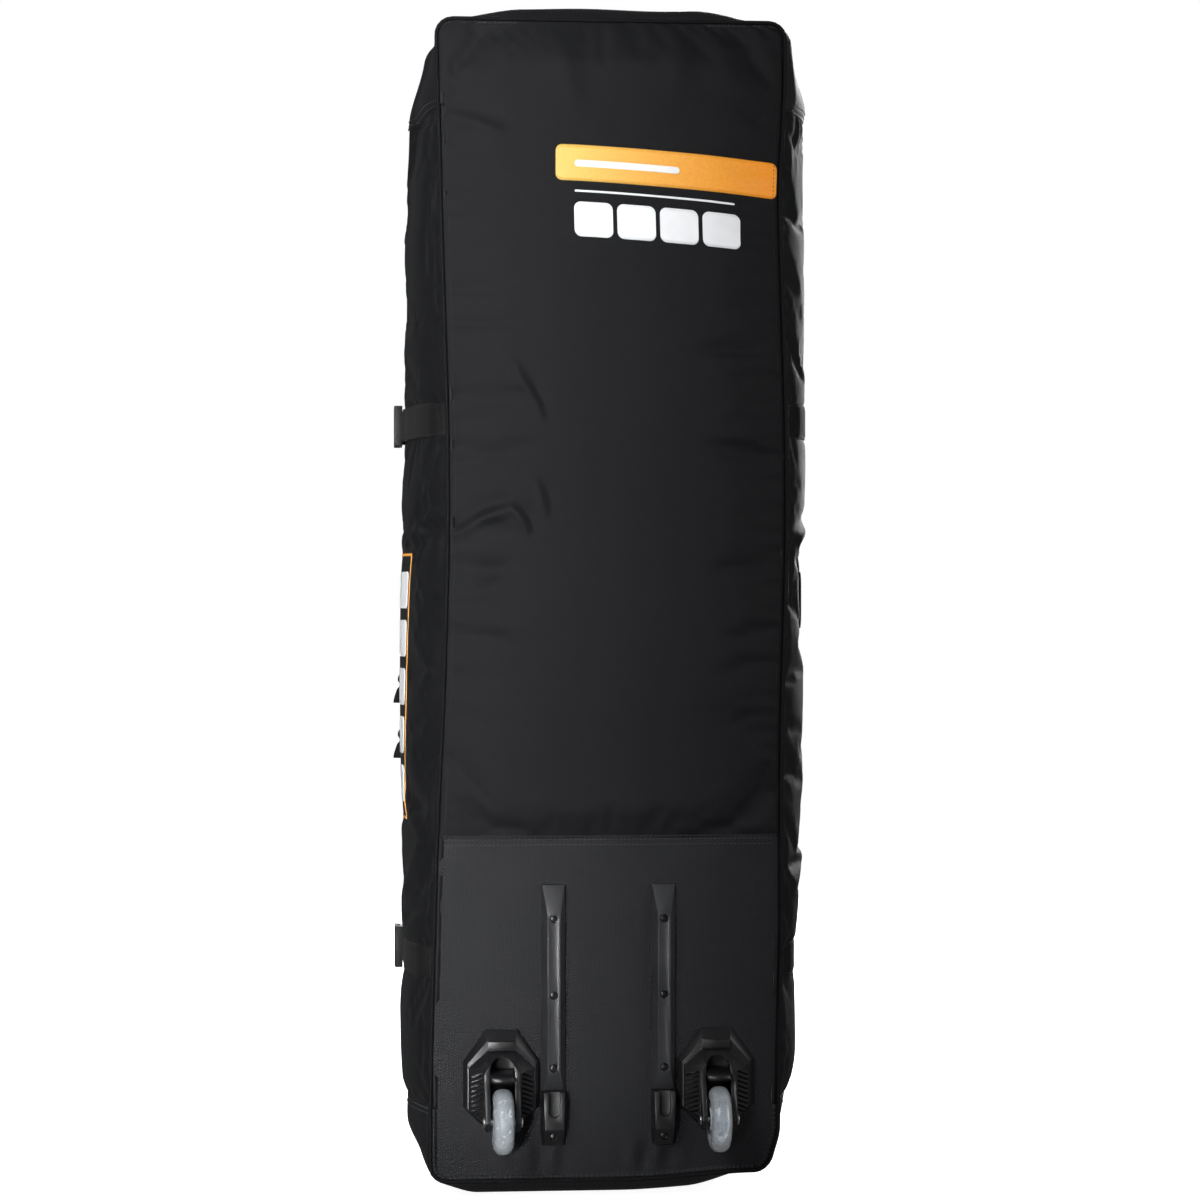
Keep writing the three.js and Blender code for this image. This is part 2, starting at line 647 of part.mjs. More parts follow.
function buildScrew(name, x, z, height) {
  const under = height - SCREW.sink - SCREW.headThick + 0.2;
  const head = rodY(SCREW.headR, SCREW.headThick, 12);
  head.translate(0, -under - SCREW.headThick / 2, 0);
  const shank = rodY(SCREW.shankR, SCREW.length, 10);
  shank.translate(0, -under + SCREW.length / 2 - 0.5, 0);
  addMesh(name, join(head, shank), MATERIAL.blackSteel, addGroup(x, BACK - GAP, z));
}

function buildRail(name, side) {
  const { top, bottom, base, crest, height } = RAIL;
  const body = ridge([
    [bottom, base / 2, base / 2 - 2, 5],
    [bottom + 22, base / 2, crest / 2, height],
    [top - 34, base / 2, crest / 2, height],
    [top, base / 2, base / 2 - 1, 5],
  ]);
  const holes = RAIL_SCREWS.flatMap((z) => screwHole(z, height));
  const group = addGroup(side * RAIL.x, BACK - GAP, 0);
  addMesh(`${name}_rail`, cut(body, ...holes), MATERIAL.plastic, group);
  RAIL_SCREWS.forEach((z, i) =>
    buildScrew(`${name}_rail_screw_${i + 1}`, side * RAIL.x, z, height),
  );
}

function buildFoot(name, side) {
  const { top, bottom, base, height } = FOOT;
  const body = ridge([
    [bottom, base / 2 - 2, 10, 7],
    [bottom + 20, base / 2, 11, height - 2],
    [top - 8, base / 2, 12, height],
    [top, base / 2 - 1, 12, height - 3],
  ]);
  const scoopTop = top - 22;
  const scoop = join(
    box([-7, -40, scoopTop], [7, -height + 12, top + 1]),
    rodY(7, 28 - 0.2, 18).translate(0, -26 + 0.1, scoopTop),
  );
  const screwHeight = 14;
  const group = addGroup(side * RAIL.x, BACK - GAP, 0);
  const foot = cut(body, scoop, ...screwHole(FOOT.screw, screwHeight));
  addMesh(`${name}_foot`, foot, MATERIAL.plastic, group);
  buildScrew(`${name}_foot_screw`, side * RAIL.x, FOOT.screw, screwHeight);
}

// ---------------------------------------------------------------- carry handles

// A webbing arch over a flat base: it runs along Z and stands up along +X in its own group.
function arch({ half, rise, width, endWidth, thick }) {
  const stops = [-1, -0.86, -0.68, -0.45, -0.2, 0.2, 0.45, 0.68, 0.86, 1];
  const rings = stops.map((t) => {
    const lift = 2.6 + rise * smooth(Math.min(1, (1 - Math.abs(t)) / 0.6));
    const w = lerp(endWidth, width, smooth(Math.min(1, (1 - Math.abs(t)) / 0.5))) / 2;
    return [[lift, -w], [lift + thick, -w], [lift + thick, w], [lift, w]].map(
      ([x, y]) => new THREE.Vector3(x, y, t * half),
    );
  });
  return loft(rings);
}

function buildSideHandle() {
  const { y, z, rise, width, thick } = SIDE_HANDLE;
  const group = addGroup(sideSurface(z, y), y, z, sideSlope(z, y));
  addMesh("side_handle", arch(SIDE_HANDLE), MATERIAL.webbing, group);
  const low = 2.6 + rise;
  const wrap = box(
    [low - GRIP.thick, -width / 2 - GRIP.extra, -GRIP.half * 0.45],
    [low + thick + GRIP.thick, width / 2 + GRIP.extra, GRIP.half * 0.45],
  );
  const core = box(
    [low - GAP, -width / 2 - GAP, -GRIP.half],
    [low + thick + GAP, width / 2 + GAP, GRIP.half],
  );
  addMesh("side_handle_grip", cut(wrap, core), MATERIAL.webbing, group);
}

function buildTopHandle() {
  const handle = arch(TOP_HANDLE).rotateY(-Math.PI / 2);
  addMesh("top_handle", handle, MATERIAL.webbing, addGroup(0, TOP_HANDLE.y, CASE.length));
}

// ---------------------------------------------------------------- the whole case

buildBack();
buildWalls();
buildBaseBoard();
buildInnerStraps();
buildLid();
buildZip();
buildStraps();
for (const [name, z] of [["upper", SLIDER.upperZ], ["lower", SLIDER.lowerZ]]) {
  buildSlider(name, z);
  buildPull(name, z);
}
for (const [name, side] of [["left", -1], ["right", 1]]) {
  buildHousing(name, side);
  buildCover(name, side);
  buildWheel(name, side);
  buildRail(name, side);
  buildFoot(name, side);
}
buildSideHandle();
buildTopHandle();

export default root;
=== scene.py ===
"""A soft golf travel case that stands on its wheel end, seen from its wheel side. Metres, +Z up."""
import json
import math
import bmesh
import bpy
import numpy as np
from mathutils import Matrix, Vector
from mathutils.bvhtree import BVHTree

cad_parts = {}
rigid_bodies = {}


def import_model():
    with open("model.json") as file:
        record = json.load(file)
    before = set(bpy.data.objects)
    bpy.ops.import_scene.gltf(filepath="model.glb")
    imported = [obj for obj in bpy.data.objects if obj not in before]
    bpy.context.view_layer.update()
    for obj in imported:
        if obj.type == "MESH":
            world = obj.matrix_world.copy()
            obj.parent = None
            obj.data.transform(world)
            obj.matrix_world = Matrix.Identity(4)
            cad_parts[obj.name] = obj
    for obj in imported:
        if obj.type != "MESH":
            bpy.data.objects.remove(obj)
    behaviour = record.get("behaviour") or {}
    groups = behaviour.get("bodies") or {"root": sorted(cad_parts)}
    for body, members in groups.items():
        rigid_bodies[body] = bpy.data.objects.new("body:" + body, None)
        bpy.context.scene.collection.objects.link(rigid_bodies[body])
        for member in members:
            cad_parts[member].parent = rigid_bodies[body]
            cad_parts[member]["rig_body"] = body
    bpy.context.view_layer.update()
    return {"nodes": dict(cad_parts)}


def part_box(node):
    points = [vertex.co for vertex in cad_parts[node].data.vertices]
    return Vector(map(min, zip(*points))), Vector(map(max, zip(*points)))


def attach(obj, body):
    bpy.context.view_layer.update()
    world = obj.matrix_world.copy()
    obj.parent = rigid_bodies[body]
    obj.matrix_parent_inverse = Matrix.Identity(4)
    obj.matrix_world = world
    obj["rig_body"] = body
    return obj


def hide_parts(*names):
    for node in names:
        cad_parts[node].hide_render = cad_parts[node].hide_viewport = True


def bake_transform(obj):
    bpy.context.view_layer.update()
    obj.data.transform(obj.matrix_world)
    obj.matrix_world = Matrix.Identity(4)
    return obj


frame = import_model()
scene = bpy.context.scene

# ------------------------------------------------------------------ the case's own sizes
HALF_W = 0.198                              # from the middle to the back's side seams
SEAM_LO, SEAM_HI = 0.024, 1.376             # foot and top of the seam outline
R_TOP, R_BOT = 0.018, 0.018                 # its corner radii
BACK, FRONT, MID = -0.150, 0.150, 0.7       # the back and lid planes, and half the height
BAND = 0.1406                               # half the depth over which the walls swell
END_CROWN = 0.024                           # how far the end walls swell
SIDE_CROWN, SIDE_FADE = 0.040, 0.012        # the same for the side walls, and how much their ends lose
CORNER_SHARE, CORNER_REACH = 0.3, 0.1       # the share left at a corner, and how far that reaches
HEEL_SHARE, HEEL_REACH = 0.45, 0.055        # the same at the lower left corner
BODY_EDGE, LID_EDGE = 0.0722, 0.0986        # the cloth's edges on either side of the zip
WALL_EDGE, PIPING_EDGE = 0.1475, 0.1488     # the walls' edges at the back and lid seams
ZIP_Y, ZIP_GAP = 0.085, 0.0008              # the zip's middle, and half the gap between its halves
HINGE_EDGE, HINGE_Y = 0.0974, 0.0978        # the right gusset's edge, and the hinge line
PATCH_HI, PATCH_LO = 1.277, 0.108           # edges of the upper and lower corner panels
CROSS_SEAM = 0.425                          # where the woven back meets the coated cloth
SKIN = 0.007                                # cloth and padding together
STRAPS = (("upper", 0.913), ("lower", 0.275))
STRAP_WIDTH, STRAP_THICK = 0.040, 0.0018
PULL_SLOPE = math.radians(18.98)            # how far the wall has turned where the zip pulls hang
SIDE_PRINT = ((-0.037, 0.438), (0.056, 0.756))   # corners of the outlined print, in depth and up
GRIP_HALF = 0.034                           # half the length of the side handle's grip
FENDER_HALF, FENDER_R, FENDER_LIFT, FENDER_BULGE = 0.0139, 0.0405, 0.006, 0.0030
# the tyre's section from the hub outwards: half width and radius in millimetres
TYRE_HALF_PROFILE = ((9.0, 22.0), (11.4, 23.2), (12.0, 26.0), (11.6, 29.4), (10.2, 33.0), (7.8, 35.9),
                     (4.6, 37.5), (1.6, 38.0))


def smooth(t):
    t = np.clip(t, 0, 1)
    return t * t * (3 - 2 * t)


def at(*parts):
    """Places, or pairs of cloth measures, from their separate numbers."""
    return np.stack(np.broadcast_arrays(*parts), -1)


def hump(t, centre, width):
    return np.exp(-(((t - centre) / width) ** 2))


def squared(wave, power):
    """A sine or cosine flattened towards its two ends, for rings with rounded corners."""
    return np.sign(wave) * np.abs(wave) ** power


# ------------------------------------------------------------------ the camera and the light
def aim(obj, target):
    obj.rotation_euler = (Vector(target) - obj.location).to_track_quat("-Z", "Y").to_euler()


def make_camera():
    cam = bpy.data.objects.new("camera", bpy.data.cameras.new("camera"))
    scene.collection.objects.link(cam)
    distance, azimuth = 4.0, math.radians(5.0)
    cam.location = (-distance * math.sin(azimuth), -distance * math.cos(azimuth), MID)
    aim(cam, (0, 0, MID))
    cam.data.sensor_width = 36
    cam.data.lens = 98.9
    cam.data.shift_x = 0.0025
    scene.camera = cam


def make_light():
    world = bpy.data.worlds.new("studio")
    world.use_nodes = True
    nodes, links = world.node_tree.nodes, world.node_tree.links
    nodes["Background"].inputs[0].default_value = (1, 1, 1, 1)
    seen = nodes.new("ShaderNodeLightPath")
    power = nodes.new("ShaderNodeMapRange")
    power.inputs["To Min"].default_value, power.inputs["To Max"].default_value = 0.11, 1.0
    links.new(seen.outputs["Is Camera Ray"], power.inputs["Value"])
    links.new(power.outputs[0], nodes["Background"].inputs[1])
    scene.world = world
    scene.view_settings.view_transform = "Standard"
    for name, place, target, power, width, height, spread in (
        ("key", (-1.25, -2.0, 1.5), (0, 0, 0.75), 38, 0.9, 0.9, 180),
        ("strip", (-0.95, -2.35, 0.75), (-0.24, -0.15, 0.75), 3.6, 0.5, 1.9, 12),
        ("fill", (2.4, -1.5, 1.2), (0, 0, 0.75), 24, 1.6, 1.6, 180),
        ("back", (0.9, 3.4, 1.7), (0, 0, 0.75), 230, 2.2, 2.2, 180),
    ):
        data = bpy.data.lights.new(name, "AREA")
        data.shape = "RECTANGLE"
        data.energy, data.size, data.size_y = power, width, height
        data.spread = math.radians(spread)
        light = bpy.data.objects.new(name, data)
        scene.collection.objects.link(light)
        light.location = place
        light.visible_camera = False
        aim(light, target)


# ------------------------------------------------------------------ materials
class Look:
    """A Principled material, with short calls for the maths of its patterns."""

    def __init__(self, name, color, rough, **inputs):
        self.material = bpy.data.materials.new(name)
        self.material.use_nodes = True
        self.material.diffuse_color = (*color, 1)
        self.tree = self.material.node_tree
        self.shader = self.tree.nodes["Principled BSDF"]
        self.set("Base Color", (*color, 1))
        self.set("Roughness", rough)
        for key, value in inputs.items():
            self.set(key.replace("_", " "), value)

    def feed(self, socket, value):
        """Links a node's output to a socket, or sets a plain value there."""
        if isinstance(value, bpy.types.NodeSocket):
            self.tree.links.new(value, socket)
        else:
            socket.default_value = value

    def set(self, key, value):
        self.feed(self.shader.inputs[key], value)

    def node(self, kind, **values):
        made = self.tree.nodes.new("ShaderNode" + kind)
        for key, value in values.items():
            if key in made.inputs:
                self.feed(made.inputs[key], value)
            else:
                setattr(made, key, value)
        return made

    def math(self, operation, a, b=0.0):
        made = self.node("Math", operation=operation)
        self.feed(made.inputs[0], a)
        self.feed(made.inputs[1], b)
        return made.outputs[0]

    def cloth_uv(self):
        place = self.node("UVMap", uv_map="cloth")
        split = self.node("SeparateXYZ", Vector=place.outputs[0])
        return split.outputs[0], split.outputs[1]

    def noise(self, scale, detail=3.0, rough=0.55):
        place = self.node("TexCoord").outputs["Object"]
        made = self.node("TexNoise", Vector=place, Scale=scale, Detail=detail, Roughness=rough)
        return made.outputs["Fac"]

    def between(self, factor, low, high, start=0.0, end=1.0):
        made = self.node("MapRange", Value=factor)
        for key, value in zip(("From Min", "From Max", "To Min", "To Max"), (start, end, low, high)):
            made.inputs[key].default_value = value
        return made.outputs[0]

    def cloud(self, scale, detail, low, high, rough=0.55):
        """Noise, with the part of its range that it fills stretched between two values."""
        return self.between(self.noise(scale, detail, rough), low, high, 0.3, 0.7)

    def tint(self, color, amount):
        """The base colour, made lighter and darker by a number around 1."""
        made = self.node("VectorMath", operation="SCALE", Scale=amount)
        self.feed(made.inputs[0], color)
        self.set("Base Color", made.outputs[0])

    def bump(self, height, distance, strength=1.0):
        made = self.node("Bump", Height=height, Distance=distance, Strength=strength)
        self.set("Normal", made.outputs[0])


def woven(name, color, rough, pitch, relief, relief_shade, **inputs):
    """Plain weave: threads that go over and under each other, with painted shade: lighter where they
    stand high, darker in the dips between them.
    """
    look = Look(name, color, rough, **inputs)
    u, v = look.cloth_uv()
    a = look.math("SINE", look.math("MULTIPLY", u, math.pi / pitch))
    b = look.math("SINE", look.math("MULTIPLY", v, math.pi / pitch))
    cell = look.math("MULTIPLY", a, b)
    slub = look.math("SUBTRACT", look.noise(260.0, 2.0), 0.5)
    height = look.math("ADD", cell, look.math("MULTIPLY", slub, 1.6))
    soil = look.cloud(5.0, 4.0, 0.90, 1.10)
    # painted shade: the weave is lighter on its raised threads and darker in the dips, over a random tone
    shade = look.math("ADD", look.math("MULTIPLY", cell, relief_shade), soil)
    look.tint(color, shade)
    look.bump(height, relief)
    return look.material


def embossed(name, color, rough, pitch, relief, relief_shade, **inputs):
    """Coated cloth with a honeycomb of small raised dots, with painted shade: lighter on the dots, darker
    in the hollows between them.
    """
    look = Look(name, color, rough, **inputs)
    u, v = look.cloth_uv()
    turn = 2 * math.pi / pitch
    waves = []
    for cu, cv in ((1.0, 0.0), (-0.5, 0.866), (0.5, 0.866)):
        along = look.math("ADD", look.math("MULTIPLY", u, cu * turn), look.math("MULTIPLY", v, cv * turn))
        waves.append(look.math("COSINE", along))
    dots = look.math("ADD", look.math("ADD", waves[0], waves[1]), waves[2])
    dot = look.between(dots, 0.0, 1.0, -1.2, 1.8)
    soil = look.cloud(6.0, 4.0, 0.92, 1.08)
    # painted shade: lighter on the raised dots and darker in the hollows between them, over a random tone
    shade = look.math("ADD", look.between(dot, -relief_shade, relief_shade), soil)
    look.tint(color, shade)
    look.set("Roughness", look.between(dot, rough + 0.1, rough - 0.06))
    look.bump(dot, relief)
    return look.material


def ribbed(name, color, rough, pitch, relief, **inputs):
    """Webbing or tape: ribs along its length, crossed by fine threads, with painted shade: darker in the
    grooves between the ribs.
    """
    look = Look(name, color, rough, **inputs)
    u, v = look.cloth_uv()
    rib = look.math("ABSOLUTE", look.math("SINE", look.math("MULTIPLY", v, math.pi / pitch)))
    thread = look.math("SINE", look.math("MULTIPLY", u, 2 * math.pi / (0.8 * pitch)))
    height = look.math("ADD", rib, look.math("MULTIPLY", thread, 0.25))
    fuzz = look.cloud(90.0, 3.0, 0.8, 1.2)
    # painted shade: darker in the grooves between the ribs and lighter on their crests, times a random
    # tone
    shade = look.math("MULTIPLY", look.between(rib, 0.75, 1.15), fuzz)
    look.tint(color, shade)
    look.bump(height, relief)
    return look.material


def moulded(name, color, rough, grain, relief, mottle=0.18, **inputs):
    """Moulded plastic or coated metal: fine grain, and duller where it has been rubbed."""
    look = Look(name, color, rough, **inputs)
    look.set("Roughness", look.cloud(14.0, 5.0, rough - 0.07, rough + 0.12, 0.65))
    look.tint(color, look.cloud(40.0, 4.0, 1 - mottle, 1 + mottle))
    look.bump(look.noise(grain, 2.0), relief)
    return look.material


BLACK = (0.0046, 0.0048, 0.0060)
DULL = {"Specular_IOR_Level": 0.2}
MATERIALS = {}
for kind, name, values, inputs in (
    (woven, "polyester", (BLACK, 0.60, 0.0011, 0.00016, 0.18),
     {"Specular_IOR_Level": 0.16, "Sheen_Weight": 0.01, "Sheen_Roughness": 0.45}),
    (embossed, "tarpaulin", ((0.0100, 0.0104, 0.0124), 0.50, 0.0029, 0.00030, 0.30), DULL),
    (woven, "lining", ((0.060, 0.062, 0.068), 0.62, 0.0008, 0.00008, 0.08), {}),
    (ribbed, "webbing", ((0.0045, 0.0046, 0.0052), 0.78, 0.0016, 0.00022),
     {"Specular_IOR_Level": 0.15, "Sheen_Weight": 0.02}),
    (ribbed, "zip_tape", ((0.004, 0.004, 0.0045), 0.75, 0.0010, 0.00010), {"Specular_IOR_Level": 0.15}),
    (moulded, "thread", ((0.012, 0.012, 0.013), 0.6, 900.0, 0.00003), DULL),
    (moulded, "tarp_thread", ((0.045, 0.046, 0.050), 0.6, 900.0, 0.00003), DULL),
    (moulded, "black_plastic", ((0.0075, 0.0076, 0.0086), 0.34, 700.0, 0.00004), {}),
    (moulded, "buckle_plastic", ((0.0040, 0.0041, 0.0046), 0.5, 700.0, 0.00004), DULL),
    # the rails' plastic is lighter than the other black plastic: a painted highlight on the rails
    (moulded, "rail_plastic_painted_highlight", ((0.021, 0.0215, 0.0235), 0.32, 700.0, 0.00004), {}),
    (moulded, "board", ((0.020, 0.020, 0.022), 0.55, 300.0, 0.00005), {}),
    (moulded, "black_metal", ((0.016, 0.016, 0.018), 0.32, 500.0, 0.00002), {"Metallic": 0.7}),
    (moulded, "steel", ((0.55, 0.56, 0.58), 0.30, 600.0, 0.00002), {"Metallic": 1.0}),
    (moulded, "hub_plastic", ((0.42, 0.45, 0.48), 0.4, 300.0, 0.00003), {}),
    (moulded, "zip_teeth", ((0.014, 0.014, 0.016), 0.34, 500.0, 0.00002), {}),
    (woven, "grip", ((0.006, 0.006, 0.007), 0.8, 0.0016, 0.0002, 0.2), DULL),
    (moulded, "print_white", ((0.80, 0.81, 0.83), 0.45, 400.0, 0.00003, 0.03), {}),
):
    MATERIALS[name] = kind(name, *values, **inputs)


def orange_print(name, across):
    """Printed film, yellower at one end."""
    look = Look(name, (0.80, 0.36, 0.04), 0.45)
    u, _ = look.cloth_uv()
    ramp = look.node("ValToRGB", Fac=look.between(u, 0.0, 1.0, *across))
    ramp.color_ramp.elements[0].color = (0.68, 0.44, 0.095, 1)
    ramp.color_ramp.elements[1].color = (0.96, 0.31, 0.012, 1)
    look.tint(ramp.outputs[0], look.cloud(300.0, 2.0, 0.95, 1.05))
    look.bump(look.noise(700.0, 2.0), 0.00004)
    return look.material


def clouded(name):
    """Cast urethane that light gets into."""
    look = Look(name, (0.60, 0.65, 0.70), 0.22, IOR=1.48, Transmission_Weight=0.55, Subsurface_Weight=0.0)
    look.tint((0.50, 0.55, 0.60), look.cloud(60.0, 4.0, 0.9, 1.1))
    look.set("Roughness", look.cloud(110.0, 3.0, 0.16, 0.34))
    look.bump(look.noise(40.0, 2.0), 0.0002)
    return look.material


MATERIALS["print_orange"] = orange_print("print_orange", (-0.06, 0.19))
MATERIALS["print_outline"] = orange_print("print_outline", (-1.0, 1.0))
MATERIALS["wheel_urethane"] = clouded("wheel_urethane")


# ------------------------------------------------------------------ making pieces
def add(name, verts, faces, finishes, body="case_body", uv=None, index=None):
    """A named mesh piece on a body. uv is one pair for each vertex, in metres on the cloth."""
    finishes = [finishes] if isinstance(finishes, str) else finishes
    mesh = bpy.data.meshes.new(name)
    places = np.asarray(verts, float).reshape(-1, 3).tolist()
    mesh.from_pydata(places, [], [tuple(map(int, f)) for f in faces])
    if uv is not None:
        loops = np.empty(len(mesh.loops), np.int32)
        mesh.loops.foreach_get("vertex_index", loops)
        layer = mesh.uv_layers.new(name="cloth")
        layer.data.foreach_set("uv", np.asarray(uv, np.float32)[loops].ravel())
    for finish in finishes:
        mesh.materials.append(MATERIALS[finish])
    if index is not None:
        mesh.polygons.foreach_set("material_index", np.asarray(index, np.int32))
    mesh.polygons.foreach_set("use_smooth", np.full(len(mesh.polygons), True))
    mesh.update()
    obj = bpy.data.objects.new(name, mesh)
    scene.collection.objects.link(obj)
    if body:
        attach(obj, body)
    return obj


def grid_faces(ni, nj, start=0, flip=False, wrap=False):
    faces = []
    for i in range(ni if wrap else ni - 1):
        for j in range(nj - 1):
            a, b = start + i * nj + j, start + ((i + 1) % ni) * nj + j
            face = (a, b, b + 1, a + 1)
            faces.append(face[::-1] if flip else face)
    return faces


def grid_normals(points):
    across = np.gradient(points, axis=0)
    along = np.gradient(points, axis=1)
    normal = np.cross(across, along)
    return normal / np.maximum(np.linalg.norm(normal, axis=2, keepdims=True), 1e-12)


def shell(name, outer, inner, uv, finishes, flip, body="case_body", wrap=False):
    """A closed sheet between an outer and an inner grid of places, with a rim."""
    ni, nj, _ = outer.shape
    count = ni * nj
    faces = grid_faces(ni, nj, 0, flip, wrap)
    outer_faces = len(faces)
    faces += grid_faces(ni, nj, count, not flip, wrap)
    index = [0] * outer_faces + [1 if len(finishes) > 1 else 0] * outer_faces
    edge = [(i * nj, ((i + 1) % ni) * nj) for i in range(ni if wrap else ni - 1)]
    edge += [(((i + 1) % ni) * nj + nj - 1, i * nj + nj - 1) for i in range(ni if wrap else ni - 1)]
    if not wrap:
        edge += [(j + 1, j) for j in range(nj - 1)]
        edge += [((ni - 1) * nj + j, (ni - 1) * nj + j + 1) for j in range(nj - 1)]
    for a, b in edge:
        face = (a, a + count, b + count, b)
        faces.append(face[::-1] if flip else face)
        index.append(0)
    verts = np.concatenate([outer.reshape(-1, 3), inner.reshape(-1, 3)])
    return add(name, verts, faces, finishes, body, np.concatenate([uv.reshape(-1, 2)] * 2), index)


def thick_grid(name, points, uv, finishes, thick, outward, body="case_body", wrap=False):
    """A cloth panel, with its inner face a thickness behind its outer face."""
    normal = grid_normals(points)
    flip = float(np.sum(normal * outward)) < 0
    inner = points + normal * thick if flip else points - normal * thick
    return shell(name, points, inner, uv, finishes, flip, body, wrap)


def resample(values, factor):
    """A finer grid through the same points, by Catmull-Rom curves both ways."""
    for axis in (0, 1):
        values = np.moveaxis(values, axis, 0)
        n = len(values)
        t = np.linspace(0, n - 1, (n - 1) * factor + 1)
        i = np.minimum(t.astype(int), n - 2)
        f = (t - i).reshape(-1, *([1] * (values.ndim - 1)))
        p0, p1 = values[np.maximum(i - 1, 0)], values[i]
        p2, p3 = values[i + 1], values[np.minimum(i + 2, n - 1)]
        values = 0.5 * (
            2 * p1 + (p2 - p0) * f + (2 * p0 - 5 * p1 + 4 * p2 - p3) * f**2
            + (3 * p1 - p0 - 3 * p2 + p3) * f**3
        )
        values = np.moveaxis(values, 0, axis)
    return values


def ring_faces(n, m, closed=False):
    """Faces round n rings of m places each, with a cap at both ends of an open row."""
    faces = []
    for i in range(n if closed else n - 1):
        a, b = i * m, ((i + 1) % n) * m
        for j in range(m):
            k = (j + 1) % m
            faces.append((a + j, a + k, b + k, b + j))
    if not closed:
        faces.append(tuple(range(m))[::-1])
        faces.append(tuple((n - 1) * m + j for j in range(m)))
    return faces


def tube(path, radius, sides=8, closed=False, squash=1.0, up=None):
    """Vertices and faces of a round or flattened cord along a path."""
    path = np.asarray(path, float)
    n = len(path)
    ahead = np.roll(path, -1, 0) - np.roll(path, 1, 0) if closed else np.gradient(path, axis=0)
    ahead /= np.linalg.norm(ahead, axis=1, keepdims=True)
    up = np.asarray(up if up is not None else (0, 1, 0), float)
    up = np.broadcast_to(up, path.shape)
    side = np.cross(ahead, up)
    side /= np.maximum(np.linalg.norm(side, axis=1, keepdims=True), 1e-9)
    top = np.cross(side, ahead)
    angles = np.linspace(0, 2 * math.pi, sides, endpoint=False)
    radius = np.broadcast_to(radius, n).reshape(n, 1, 1)
    cos, sin = np.cos(angles)[None, :, None], np.sin(angles)[None, :, None]
    ring = side[:, None] * cos + squash * top[:, None] * sin
    verts = (path[:, None] + ring * radius).reshape(-1, 3)
    return verts, ring_faces(n, sides, closed)


class Bundle:
    """Many small solids that make one piece."""

    def __init__(self):
        self.verts, self.faces, self.count = [], [], 0

    def take(self, verts, faces):
        self.verts.append(np.asarray(verts, float))
        self.faces += [tuple(i + self.count for i in face) for face in faces]
        self.count += len(verts)

    def piece(self, name, finish, body="case_body"):
        return add(name, np.concatenate(self.verts), self.faces, finish, body)


# ------------------------------------------------------------------ the soft shell's shape
def seam_outline():
    """Rows of x, z, outward x, outward z, and how far the wall is an end wall. Then the distance
    along the outline at each row, and at the ends of its lines and corners."""
    rows = []
    xb, xt = HALF_W - R_BOT, HALF_W - R_TOP

    def line(a, b, out, end):
        count = int(math.dist(a, b) / 0.002)
        for t in np.linspace(0, 1, count, endpoint=False):
            rows.append((a[0] + (b[0] - a[0]) * t, a[1] + (b[1] - a[1]) * t, *out, end))
        marks.append(len(rows))

    def arc(cx, cz, r, start, stop, rising):
        for t in np.linspace(0, 1, 40, endpoint=False):
            a = math.radians(start + (stop - start) * t)
            end = float(smooth(t if rising else 1 - t))
            rows.append((cx + r * math.cos(a), cz + r * math.sin(a), math.cos(a), math.sin(a), end))
        marks.append(len(rows))

    marks = [0]
    line((0, SEAM_LO), (-xb, SEAM_LO), (0, -1), 1)
    arc(-xb, SEAM_LO + R_BOT, R_BOT, -90, -180, False)
    line((-HALF_W, SEAM_LO + R_BOT), (-HALF_W, SEAM_HI - R_TOP), (-1, 0), 0)
    arc(-xt, SEAM_HI - R_TOP, R_TOP, 180, 90, True)
    line((-xt, SEAM_HI), (xt, SEAM_HI), (0, 1), 1)
    arc(xt, SEAM_HI - R_TOP, R_TOP, 90, 0, False)
    line((HALF_W, SEAM_HI - R_TOP), (HALF_W, SEAM_LO + R_BOT), (1, 0), 0)
    arc(xb, SEAM_LO + R_BOT, R_BOT, 0, -90, True)
    line((xb, SEAM_LO), (0, SEAM_LO), (0, -1), 1)
    rows.append(rows[0])
    rows = np.array(rows)
    steps = np.hypot(np.diff(rows[:, 0]), np.diff(rows[:, 1]))
    length = np.concatenate([[0], np.cumsum(steps)])
    return rows, length, [length[min(m, len(length) - 1)] for m in marks]


OUTLINE, LENGTH, MARKS = seam_outline()
TOTAL = LENGTH[-1]
(_, LEFT_FOOT, LEFT_LOW, _, TOP_LEFT, TOP_RIGHT, RIGHT_HIGH, _, RIGHT_FOOT, _) = MARKS


def side_s(side, z):
    """The place along the seam outline of a height on a side wall."""
    return LEFT_LOW + (z - SEAM_LO - R_BOT) if side < 0 else RIGHT_HIGH + (SEAM_HI - R_TOP - z)


def outline_at(s):
    s = np.mod(s, TOTAL)
    return [np.interp(s, LENGTH, OUTLINE[:, k]) for k in range(5)]


def crown(x, z, end, y):
    """How far the walls swell. They are drawn in at the outline's corners."""
    across = np.clip(np.abs(y) / BAND, 0, 1)
    side = (SIDE_CROWN - SIDE_FADE * ((z - MID) / MID) ** 6) * (1 - across**2)
    cap = END_CROWN * smooth((1 - across) / 0.4)

    def drawn_in(share, distance, reach):
        return share + (1 - share) * smooth(distance / reach)

    top = drawn_in(CORNER_SHARE, np.maximum(HALF_W - np.abs(x), SEAM_HI - z), CORNER_REACH)
    low = np.maximum(HALF_W - np.abs(x), z - SEAM_LO)
    heel = drawn_in(HEEL_SHARE, low, HEEL_REACH)
    foot = np.where(x < 0, heel, drawn_in(CORNER_SHARE, low, CORNER_REACH))
    return np.minimum(top, foot) * (side + (cap - side) * end)


